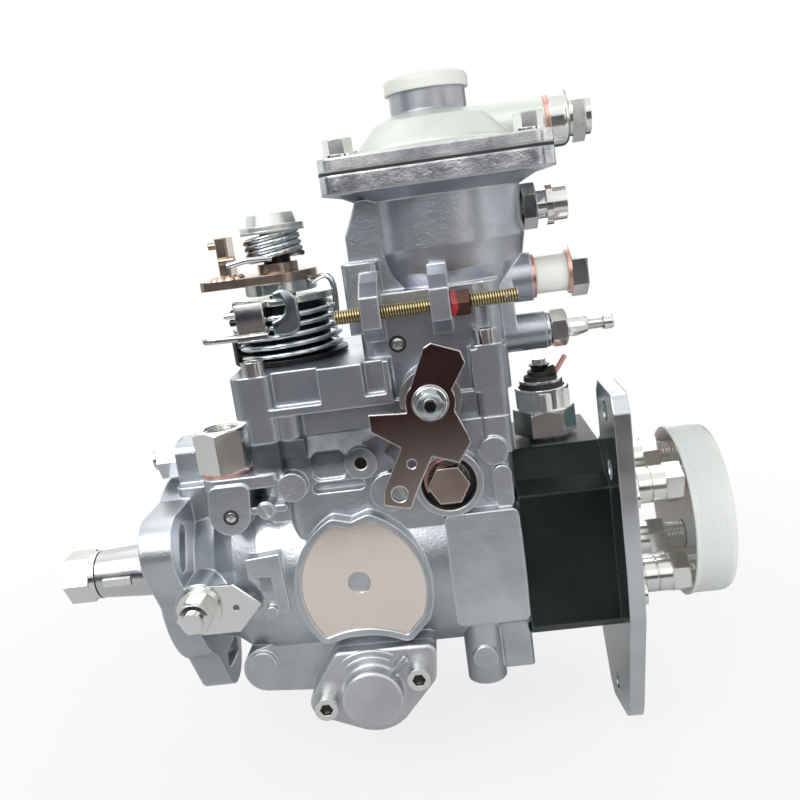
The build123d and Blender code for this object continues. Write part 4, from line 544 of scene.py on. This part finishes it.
def close_up(piece, reach=0.000002):
    """Merges what touches, closes the open ends and turns every face outwards."""
    edit(piece)
    bpy.ops.mesh.remove_doubles(threshold=reach)
    bpy.ops.mesh.select_all(action="DESELECT")
    bpy.ops.mesh.select_non_manifold()
    bpy.ops.mesh.fill_holes(sides=0)
    bpy.ops.mesh.select_all(action="SELECT")
    bpy.ops.mesh.normals_make_consistent(inside=False)
    bpy.ops.object.mode_set(mode="OBJECT")


def drawn(name, points):
    """A line of radius and height, drawn point by point from a single vertex."""
    bpy.ops.object.select_all(action="DESELECT")
    bpy.ops.mesh.primitive_plane_add(size=MM)
    piece = bpy.context.object
    piece.name = name
    edit(piece)
    bpy.ops.mesh.merge(type="CENTER")
    here = Vector((points[0][0], 0, points[0][1])) * MM
    bpy.ops.transform.translate(value=here)
    for radius, height in points[1:]:
        there = Vector((radius, 0, height)) * MM
        bpy.ops.mesh.extrude_vertices_move(TRANSFORM_OT_translate={"value": there - here})
        here = there
    bpy.ops.object.mode_set(mode="OBJECT")
    return piece


def turned(name, points, sides=48, angle=360):
    """A piece turned round the Z axis from its profile, or a part of the turn with closed ends."""
    piece = drawn(name, points)
    apply_modifier(piece, "SCREW", steps=sides, render_steps=sides, angle=radians(angle),
                   use_merge_vertices=angle == 360, merge_threshold=0.000001)
    close_up(piece)
    return piece


def threaded(name, radius, pitch, length, sides=20):
    """A bar with a real helical thread and flat ends."""
    root = radius - 0.6 * pitch
    piece = drawn(name, [(root, -pitch), (radius, -0.6 * pitch), (radius, -0.45 * pitch), (root, 0)])
    turns = round(length / pitch) + 2
    apply_modifier(piece, "SCREW", steps=sides, render_steps=sides, screw_offset=pitch * MM, iterations=turns,
                   use_merge_vertices=False)
    edit(piece)
    bpy.ops.mesh.remove_doubles(threshold=0.000005)
    for height, above in ((0.2, False), (length, True)):
        bpy.ops.mesh.select_all(action="SELECT")
        bpy.ops.mesh.bisect(plane_co=(0, 0, height * MM), plane_no=(0, 0, 1), use_fill=True,
                            clear_outer=above, clear_inner=not above)
    bpy.ops.object.mode_set(mode="OBJECT")
    close_up(piece, 0.000001)
    return piece


def coiled(name, radius, wire, pitch, turns):
    """A spring of round wire with closed ends, its middle line starting at height 0."""
    bpy.ops.object.select_all(action="DESELECT")
    bpy.ops.mesh.primitive_circle_add(vertices=12, radius=wire / 2 * MM, location=(radius * MM, 0, 0),
                                      rotation=(pi / 2, 0, 0))
    piece = bpy.context.object
    piece.name = name
    fix(piece)
    apply_modifier(piece, "SCREW", steps=40, render_steps=40, screw_offset=pitch * MM, iterations=turns,
                   use_merge_vertices=False)
    close_up(piece)
    return piece


def bent_wire(name, wire, points):
    """A smooth bent wire along a few points, as a mesh."""
    bpy.ops.object.select_all(action="DESELECT")
    bpy.ops.curve.primitive_nurbs_path_add()
    piece = bpy.context.object
    piece.name = name
    spline = piece.data.splines[0]
    spline.points.add(max(0, len(points) - len(spline.points)))
    for point, place in zip(spline.points, points):
        point.co = (*(Vector(place) * MM), 1)
    for point in spline.points[len(points):]:
        point.co = (*(Vector(points[-1]) * MM), 1)
    spline.order_u = 3
    spline.use_endpoint_u = True
    piece.data.bevel_depth = wire / 2 * MM
    piece.data.bevel_resolution = 3
    piece.data.use_fill_caps = True
    only(piece)
    bpy.ops.object.convert(target="MESH")
    close_up(bpy.context.object, 0.0000005)
    return bpy.context.object


def cut(piece, tool, operation="DIFFERENCE"):
    """Cuts a piece with a tool, or keeps what both share, and takes the tool away."""
    apply_modifier(piece, "BOOLEAN", object=tool, operation=operation, solver="EXACT")
    bpy.data.objects.remove(tool)


def hexagonal(name, flats, height, both=False, bore=0):
    """A hexagonal head with its corners turned off, at both ends on a nut."""
    corner = flats / 3 ** 0.5
    bpy.ops.object.select_all(action="DESELECT")
    bpy.ops.mesh.primitive_cylinder_add(vertices=6, radius=corner * MM, depth=height * MM,
                                        location=(0, 0, height / 2 * MM))
    piece = bpy.context.object
    piece.name = name
    fix(piece)
    wide = corner * 1.05
    face = 0.475 * flats
    drop = (wide - face) * tan(radians(30))
    foot = [(0, 0), (face, 0), (wide, drop)] if both else [(0, 0), (wide, 0)]
    cut(piece, turned("shaper", foot + [(wide, height - drop), (face, height), (0, height)]), "INTERSECT")
    if bore:
        cut(piece, turned("drill", [(0, -1), (bore, -1), (bore, height + 1), (0, height + 1)]))
    return piece


def pin(name, radius, length, chamfer=0.4, sides=32):
    """A round pin with chamfered rims."""
    return turned(name, [(0, 0), (radius - chamfer, 0), (radius, chamfer), (radius, length - chamfer),
                         (radius - chamfer, length), (0, length)], sides)


def ring(name, inner, outer, height):
    """A flat washer with softened rims."""
    soft = min(0.25, height / 4)
    return turned(name, [(inner, 0), (outer - soft, 0), (outer, soft), (outer, height - soft),
                         (outer - soft, height), (inner, height), (inner, 0)])


def put(piece, place, direction=Z_AXIS, spin=0):
    """Takes a piece from the origin to its place, along a direction, and fixes it there."""
    turn = Z_AXIS.rotation_difference(direction).to_matrix().to_4x4()
    piece.matrix_world = Matrix.Translation(Vector(place) * MM) @ turn @ Matrix.Rotation(radians(spin), 4, "Z")
    fix(piece)
    return piece


def dressed(piece, finish, body="housing", smooth=32):
    """Gives a piece its finish and lets it ride on a body."""
    piece.data.materials.clear()
    piece.data.materials.append(finish)
    only(piece)
    bpy.ops.object.shade_smooth_by_angle(angle=radians(smooth))
    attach(piece, body)


def plate_piece(name, outline, thickness, rounding, finish, place, direction=Z_AXIS):
    """A flat piece of the control stack from its outline, drawn up to its thickness and rounded off."""
    piece = drawn(name, outline)
    piece.rotation_euler = (radians(-90), 0, 0)
    fix(piece)
    edit(piece)
    bpy.ops.mesh.edge_face_add()
    bpy.ops.mesh.extrude_region_move(TRANSFORM_OT_translate={"value": (0, 0, thickness * MM)})
    bpy.ops.mesh.select_all(action="SELECT")
    bpy.ops.mesh.normals_make_consistent(inside=False)
    bpy.ops.object.mode_set(mode="OBJECT")
    apply_modifier(piece, "BEVEL", width=rounding * MM, segments=3, limit_method="ANGLE",
                   angle_limit=radians(50))
    put(piece, place, direction)
    dressed(piece, finish, "control")


def block(name, centre, size):
    """A plain block about its centre."""
    bpy.ops.object.select_all(action="DESELECT")
    bpy.ops.mesh.primitive_cube_add(size=MM, location=Vector(centre) * MM, scale=size)
    piece = bpy.context.object
    piece.name = name
    fix(piece)
    return piece


def box_piece(name, low, high, rounding):
    """A bright block of the control stack between two corners, with rounded edges."""
    piece = block(name, (Vector(low) + Vector(high)) / 2, Vector(high) - Vector(low))
    apply_modifier(piece, "BEVEL", width=rounding * MM, segments=3)
    dressed(piece, ZINC, "control")


# Places of the groups of pieces, in millimetres
CONTROL_X = 67
BOOST_X = 142
OUTLET_OFFSET = 21
SOLENOID_X = 177
SOLENOID_Y = -5
STOP_X = 128.4
STOP_Z = 77.5
PLUG_X = 131.4
PLUG_Z = 41
TIMING_X = 88
TIMING_Z = -47.5
SPEED_Y = -46
SPEED_Z = 114
FULL_LOAD_Y = -14
FULL_LOAD_Z = 94


def make_stop_screws():
    """The long yellow screw with a cross hole at its end, and the full-load screw."""
    screw = threaded("speed_screw", 3, 1.05, 72.8)
    cut(screw, put(pin("drill", 0.9, 10), (0, 5, 68.5), NEAR))
    put(screw, (94.8, SPEED_Y, SPEED_Z), X_AXIS)
    dressed(screw, YELLOW, smooth=50)
    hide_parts("adjusting_screws")
    nut = put(hexagonal("speed_nut", 10, 7.9, True, 2.8), (140.9, SPEED_Y, SPEED_Z), X_AXIS)
    dressed(nut, MARKED)
    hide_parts("lock_nuts")
    place = (FULL_LOAD_Y, FULL_LOAD_Z)
    shank = put(threaded("full_load_screw", 4, 1, 63), (126.2, *place), X_AXIS)
    dressed(shank, ZINC, smooth=50)
    load_nut = put(hexagonal("full_load_nut", 14, 7.2, True, 3.8), (182.2, *place), X_AXIS, 30)
    dressed(load_nut, ZINC)
    washer = put(ring("full_load_washer", 3.8, 7.6, 1.5), (180.6, *place), X_AXIS)
    dressed(washer, PLATE_ZINC)
    sleeve = turned("full_load_sleeve", [(0, 0), (4.4, 0), (4.4, 4.6), (3.2, 9), (0, 9)], 12)
    dressed(put(sleeve, (189.3, *place), X_AXIS), ZINC, smooth=20)
    end = put(threaded("full_load_thread", 2.5, 0.8, 7), (198, *place), X_AXIS)
    dressed(end, ZINC, smooth=50)
    tip = turned("full_load_tip", [(0, 0), (2.6, 0), (3.1, 0.6), (3.1, 3.9), (2.6, 4.6), (0, 4.6)])
    dressed(put(tip, (204.8, *place), X_AXIS), ZINC)


def make_springs():
    """The drum's open coils, the small coils under the cap with their leg, and the inner springs."""
    drum_coils = put(coiled("control_spring_wire", 23.3, 2.6, 4.12, 5), (CONTROL_X, 0, 97.7), Z_AXIS, 200)
    dressed(drum_coils, WIRE, smooth=60)
    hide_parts("control_spring")
    cap_coils = coiled("upper_spring_wire", 11.7, 2.6, 2.65, 4)
    cap_coils.rotation_euler = (0, radians(-6), 0)
    fix(cap_coils)
    put(cap_coils, (CONTROL_X, 0, 138.9))
    dressed(cap_coils, WIRE, "control", 60)
    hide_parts("upper_spring")
    leg = bent_wire("spring_leg", 2.8, [(67, -11.6, 139.6), (61, -12.6, 140), (56, -13.4, 140.2),
                                        (51.5, -14, 139.6), (47.6, -14.4, 138.8)])
    dressed(leg, WIRE, "control", 60)
    loop = bent_wire("spring_hook", 2.6, [(82, -5, 126.8), (86, -7, 129.3), (90, -8.6, 129), (91.6, -9, 125),
                                          (91.6, -9, 118), (90.8, -8, 110)])
    dressed(loop, WIRE, "control", 60)
    inner = (("boost_spring", 14, 2.8, 5, Z_AXIS, (BOOST_X, 0, 130), 36.2),
             ("governor_spring", 3.6, 1.5, 8, X_AXIS, (76, 0, 82), 31.7),
             ("timing_spring", 5.5, 1.9, 7, NEAR, (TIMING_X, -12.3, TIMING_Z), 42.4))
    pressed = {"boost_spring": ("boost_stroke", (BOOST_X, 0, 130)),
               "timing_spring": ("timing_slide", (TIMING_X, -54.7, TIMING_Z))}
    for node, radius, wire, turns, direction, start, length in inner:
        coils = coiled(node + "_wire", radius, wire, (length - wire) / turns, turns)
        put(coils, Vector(start) + direction * (wire / 2), direction)
        dressed(coils, WIRE, smooth=60)
        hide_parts(node)
        if node in pressed:
            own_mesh(coils)


HEX_OVER = 0.12
SOLENOID_BORE = 4.6


def make_hexagons():
    """Chamfered hexagons fitted over the plain ones, a hair larger all round."""
    plain = [("return_hexagon", 19, 6.5, (194, -8, 117), X_AXIS, 30),
             ("air_hexagon", 19, 5.3, (201.2, 0, 181.5), X_AXIS, 30),
             ("vent_hexagon", 17, 6, (177, 0, 146.5), X_AXIS, 30),
             ("solenoid_low_hexagon", 24, 11.5, (SOLENOID_X, SOLENOID_Y, 46.5), Z_AXIS, 30),
             ("solenoid_high_hexagon", 22.5, 8, (SOLENOID_X, SOLENOID_Y, 58), Z_AXIS, 0),
             ("lock_hexagon", 13, 7.5, (19.5, -53.5, -1), NEAR, 30)]
    for first, second in CORNERS:
        plain += [("boost_bolt", 10, 6, (BOOST_X + 37.3 * first, 37.3 * second, 176.4), Z_AXIS, 30),
                  ("outlet_hexagon", 16, 8, (223.5, OUTLET_OFFSET * first, OUTLET_OFFSET * second), X_AXIS, 30)]
    for name, flats, height, place, direction, spin in plain:
        both = name in ("outlet_hexagon", "vent_hexagon")
        bore = SOLENOID_BORE if name.startswith("solenoid") else 0
        piece = hexagonal(name, flats + HEX_OVER, height + HEX_OVER, both, bore)
        put(piece, Vector(place) - direction * (HEX_OVER / 2), direction, spin)
        dressed(piece, ZINC)


SOCKET_DEPTH = 0.4
TIMING_SCREWS = [(67.5, -50), (108.5, -40.5)]
COVER_SCREWS = [(57, 99), (153.5, 100.5)]


def make_dark_sockets():
    """The stop nut, dark discs of painted shade in its stud's socket, in the other sockets and in the boss
    hole, and the plug's well with a copper arc of painted reflection.
    """
    flange = turned("stop_nut_flange", [(0, 0), (7.4, 0), (7.4, 0.9), (6.2, 1.9), (0, 1.9)])
    put(flange, (STOP_X, -57, STOP_Z), NEAR)
    nut = put(hexagonal("stop_nut", 10.24, 4.62, True), (STOP_X, -58.5, STOP_Z), NEAR, 30)
    dressed(nut, CLIP, "stop")
    dressed(flange, ZINC, "stop")
    # Painted shade: a black hex disc in the stud's socket
    socket = put(pin("stop_stud_socket_shade", 2.5, 0.5, 0.1, 6), (STOP_X, -63.85, STOP_Z), NEAR)
    dressed(socket, BLACK_STEEL, "stop")
    sockets = [((x, -56.9, z), NEAR) for x, z in TIMING_SCREWS]
    sockets += [((x, 38.6 * side, top), Z_AXIS) for x, top in COVER_SCREWS for side in (-1, 1)]
    sockets += [((208.4, 37 * side_y, 22 * side_z), X_AXIS) for side_y, side_z in CORNERS]
    # Painted shade: a black hex disc at the floor of each screw's socket
    for place, direction in sockets:
        shade = hexagonal("socket_shade", 4.9, SOCKET_DEPTH)
        put(shade, Vector(place) - direction * SOCKET_DEPTH, direction, 30)
        dressed(shade, BLACK_STEEL)
    # Painted shade: a black disc inside the boss hole
    hole = put(pin("stop_boss_hole_shade", 2.85, 0.6, 0.1), (96.3, -45.2, 53.3), NEAR)
    dressed(hole, BLACK_STEEL)
    well = turned("plug_well", [(8.9, 0), (11.4, 0), (11.4, 4.2), (11, 4.2), (10.6, 0.8), (8.9, 0.5), (8.9, 0)])
    put(well, (PLUG_X, -44.1, PLUG_Z), NEAR)
    dressed(well, RUBBER)
    # Painted reflection: a copper arc on the floor of the well stands in for an orange-red reflection there
    edge = turned("plug_well_reflection", [(9, 0), (10.3, 0), (10.3, 0.5), (9, 0.5), (9, 0)], 24, 110)
    put(edge, (PLUG_X, -44.7, PLUG_Z), NEAR, 95)
    dressed(edge, COPPER)


INLET_X = 36.5
INLET_Y = -30


def make_fuel_inlet():
    """The big hexagon with its threaded mouth."""
    head = hexagonal("inlet_hexagon", 22, 18.3)
    cut(head, turned("drill", [(0, 2), (6.9, 2), (6.9, 17.2), (8.2, 18.5), (0, 18.5)]))
    cut(head, put(threaded("tap", 7.6, 1.5, 17), (0, 0, 2.5)))
    put(head, (INLET_X, INLET_Y, 53.7))
    dressed(head, ZINC, smooth=30)
    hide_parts("fuel_inlet")
    stem = put(pin("inlet_stem", 6.4, 11), (INLET_X, INLET_Y, 42.7))
    dressed(stem, ZINC)


CUP_WALL = 1.3


def make_outlet_ends():
    """Threads on the four outlets, and the clear cup with fine grooves and plugs that covers them."""
    for side_y, side_z in CORNERS:
        end = threaded("outlet_thread", 6.5, 1.5, 9.2)
        put(end, (231.7, OUTLET_OFFSET * side_y, OUTLET_OFFSET * side_z), X_AXIS)
        dressed(end, ZINC, smooth=50)
    outline = [(39 - CUP_WALL, 0), (39, 0), (39, 1.2), (38.4, 1.8)]
    for groove in range(9):
        start = 2.4 + 1.5 * groove
        outline += [(38.4, start), (38.25, start + 0.3), (38.4, start + 0.6)]
    outline += [(38.2, 16.2), (37.4, 17.6), (36, 18), (0, 18), (0, 18 - CUP_WALL), (36, 18 - CUP_WALL),
                (38.2 - CUP_WALL, 15.8), (38.2 - CUP_WALL, 1), (39 - CUP_WALL, 0)]
    cup = put(turned("outlet_cup_clear", outline, 120), (232, 0, 0), X_AXIS)
    dressed(cup, CLEAR, smooth=20)
    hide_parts("outlet_cup")
    for side_y, side_z in CORNERS:
        plug = turned("cup_plug", [(7.4, 0), (6.6, 0), (6.6, 7), (0, 7), (0, 7.3), (7.4, 7.3), (7.4, 0)], 32)
        put(plug, (241.4, OUTLET_OFFSET * side_y, OUTLET_OFFSET * side_z), X_AXIS)
        dressed(plug, CLEAR)


def make_solenoid_top():
    """The black insulator in steps, its threaded terminal, nut, clip and a pink sleeve."""
    x, y = SOLENOID_X, SOLENOID_Y
    insulator = turned("solenoid_insulator", [(0, 0), (10.6, 0), (10.6, 0.6), (9.6, 1.2), (9.6, 2.8),
                                              (8.2, 3.4), (7.4, 4.4), (7.4, 5.4), (5.6, 6), (5.6, 7.6),
                                              (0, 7.6)])
    put(insulator, (x, y, 67))
    dressed(insulator, RUBBER)
    crown = put(ring("solenoid_crown", 10.4, 11.95, 1.7), (x, y, 66))
    dressed(crown, ZINC)
    post = put(threaded("terminal_post", 2.6, 0.8, 5.6), (x, y, 74.3))
    dressed(post, ZINC, smooth=50)
    nut = put(hexagonal("terminal_nut", 7, 2.4, True, 2.2), (x, y, 74.4), Z_AXIS, 10)
    dressed(nut, BLACK_STEEL)
    washer = put(ring("terminal_washer", 2.2, 4.6, 0.7), (x, y, 76.9))
    dressed(washer, BLACK_STEEL)
    clip = put(pin("terminal_clip", 2.3, 5), (x + 2, y - 2.2, 73.4), Vector((1, -0.25, 0.35)).normalized())
    dressed(clip, RUBBER)
    sleeve = put(pin("terminal_sleeve", 1.1, 9.5), (x + 6, y - 3, 73), Vector((0.55, -0.1, 0.8)).normalized())
    dressed(sleeve, PINK)


def make_control_stack():
    """The control shaft with its black drum, bright rim, stop block, hook and tab, over the spring's seat."""
    drum = turned("control_drum", [(0, 85.5), (9, 85.5), (9, 88.5), (6, 88.5), (6, 98.4), (15, 98.4), (15, 101),
                                   (18.6, 101), (19, 101.4), (19, 120), (6, 120), (6, 152), (5.5, 152.5),
                                   (0, 152.5)], 64)
    put(drum, (CONTROL_X, 0, 0))
    dressed(drum, DRUM, "control")
    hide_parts("control_shaft")
    key = put(pin("control_pin", 2, 6.2), (CONTROL_X + 3, 0, 79.5))
    dressed(key, DRUM, "control")
    rim = turned("control_rim", [(18, 119.6), (22.6, 119.6), (23, 120), (23, 122.6), (22.6, 123), (6.2, 123),
                                 (6.2, 121), (18, 121), (18, 119.6)], 64)
    put(rim, (CONTROL_X, 0, 0))
    dressed(rim, ZINC, "control")
    box_piece("stop_block", (50.5, -29, 109.5), (63, -24.4, 122.8), 0.8)
    box_piece("stop_block_foot", (49.6, -28.6, 106.6), (63.6, -20, 109.8), 0.7)
    box_piece("stop_block_arm", (50.8, -25, 120.2), (63, -15, 122.8), 0.4)
    plate_piece("stop_tab", [(51, -28), (38, -26.5), (34.5, -25), (33.2, -22), (34, -19), (36.5, -17.4),
                             (51, -17)], 2.8, 0.9, PLATE_ZINC, (0, 0, 107.3))
    plate_piece("spring_clip", [(-2.4, 8), (1, 9), (5.2, 7.6), (7.2, 4.2), (7.4, -4), (6.6, -8.6), (3, -10.4),
                                (-4.2, -10.2), (-4.8, -4.2), (-1, -2.8), (1.2, -1), (2.2, 1.6), (1.2, 4.2),
                                (-2.6, 5.2)], 3.4, 0.7, CLIP, (CONTROL_X + 3.6, -26.6, 118.2), NEAR)
    box_piece("spring_clip_arm", (66, -27.5, 120.2), (74, -17, 122.8), 0.4)
    for place, radius, length, finish in (((45.6, -26.5, 118.6), 1.3, 6, ZINC),
                                          ((47.4, -25.4, 115.4), 1.5, 4, BLACK_STEEL)):
        dressed(put(pin("stop_pin", radius, length), place, X_AXIS), finish, "control")
    seat = turned("spring_seat", [(19.3, 94.6), (25.4, 94.6), (25.8, 95), (25.8, 96.6), (22, 96.6), (20, 99.4),
                                  (19.3, 99.4), (19.3, 94.6)], 64)
    put(seat, (CONTROL_X, 0, 0))
    dressed(seat, DRUM)
    # Painted shade: a black part-shell behind the coils stands in for the shadow between the coils and the drum
    skirt = turned("spring_shade_skirt", [(24.9, 95), (25.8, 95), (25.8, 105.4), (24.9, 105.4), (24.9, 95)], 20, 62)
    put(skirt, (CONTROL_X, 0, 0), Z_AXIS, 150)
    dressed(skirt, DRUM)


WELD_Z = 132.7
WELD_BEADS = [(41.6, -12.4, 3), (44.2, -14.2, 2.6), (48, -14, 2.8), (50.6, -11.8, 2.6), (41.2, -8.4, 2.6),
              (51, -8, 2.4)]


def make_lever_details():
    """Weld beads at the foot of the upright tab, and the washer under the cap."""
    for x, y, size in WELD_BEADS:
        bead = turned("weld_bead", [(0, 0), (size, 0), (size * 0.9, 1), (size * 0.5, 2), (0, 2.3)], 16)
        put(bead, (x, y, WELD_Z))
        dressed(bead, WELD, "control", 60)
    washer = put(ring("cap_washer", 11, 14.3, 1.3), (CONTROL_X, 0, 150.4))
    dressed(washer, SATIN, "control")


def star_screw(name, place, radius):
    """A dark well with a bright head and a six-pointed recess, on the near side."""
    well = put(ring(name + "_well", radius * 0.72, radius, 0.5), place, NEAR)
    dressed(well, RUBBER)
    head = turned(name + "_head", [(0, 0), (radius * 0.7, 0), (radius * 0.66, 0.4), (radius * 0.4, 0.62),
                                   (0, 0.66)], 32)
    star = turned("star", [(0, 0.15), (radius * 0.4, 0.15), (radius * 0.4, 2), (0, 2)], 12)
    edit(star)
    bpy.ops.mesh.select_all(action="DESELECT")
    bpy.ops.object.mode_set(mode="OBJECT")
    for vertex in star.data.vertices:
        spoke = round(atan2(vertex.co.y, vertex.co.x) / (pi / 6))
        vertex.select = spoke % 2 == 1
    bpy.ops.object.mode_set(mode="EDIT")
    bpy.ops.transform.resize(value=(0.55, 0.55, 1), center_override=(0, 0, 0))
    bpy.ops.object.mode_set(mode="OBJECT")
    cut(head, star)
    put(head, Vector(place) - NEAR * 0.1, NEAR)
    dressed(head, ZINC)


def make_cast_details():
    """Screws and plugs in the castings, and the ribs and bar on the timing cover."""
    star_screw("hanger_screw", (38.4, -45.4, 36.2), 3.3)
    star_screw("wall_screw", (117.4, -33.9, 98.8), 3.6)
    for name, place, radius in (("slotted_plug", (53.6, -44.8, 37.3), 3.6),
                                ("slotted_disc", (111.7, -46.9, 39.2), 4.6)):
        disc = pin(name, radius, 1, 0.3)
        cut(disc, block("slot_tool", (0, 0, 1), (0.7, radius * 1.5, 0.8)))
        put(disc, place, NEAR, 20)
        dressed(disc, CAST)
    timing = (TIMING_X, -51.9, TIMING_Z)
    for radius in (16.3, 19.2):
        outer = radius + 1.1
        rib = turned("timing_rib", [(radius, 0), (outer, 0), (outer, 1.1), (radius, 1.1), (radius, 0)], 24, 74)
        put(rib, timing, NEAR, 58)
        dressed(rib, CAST)
    bar = block("timing_bar", (17.5, 0, 0.9), (10, 3, 2))
    apply_modifier(bar, "BEVEL", width=0.6 * MM, segments=3)
    put(bar, timing, NEAR, 44)
    dressed(bar, CAST)


make_stop_screws()
make_springs()
make_hexagons()
make_dark_sockets()
make_fuel_inlet()
make_outlet_ends()
make_solenoid_top()
make_control_stack()
make_lever_details()
make_cast_details()

make_camera()
make_world()
make_floor()
make_lights()
bpy.context.scene.view_settings.view_transform = "Standard"
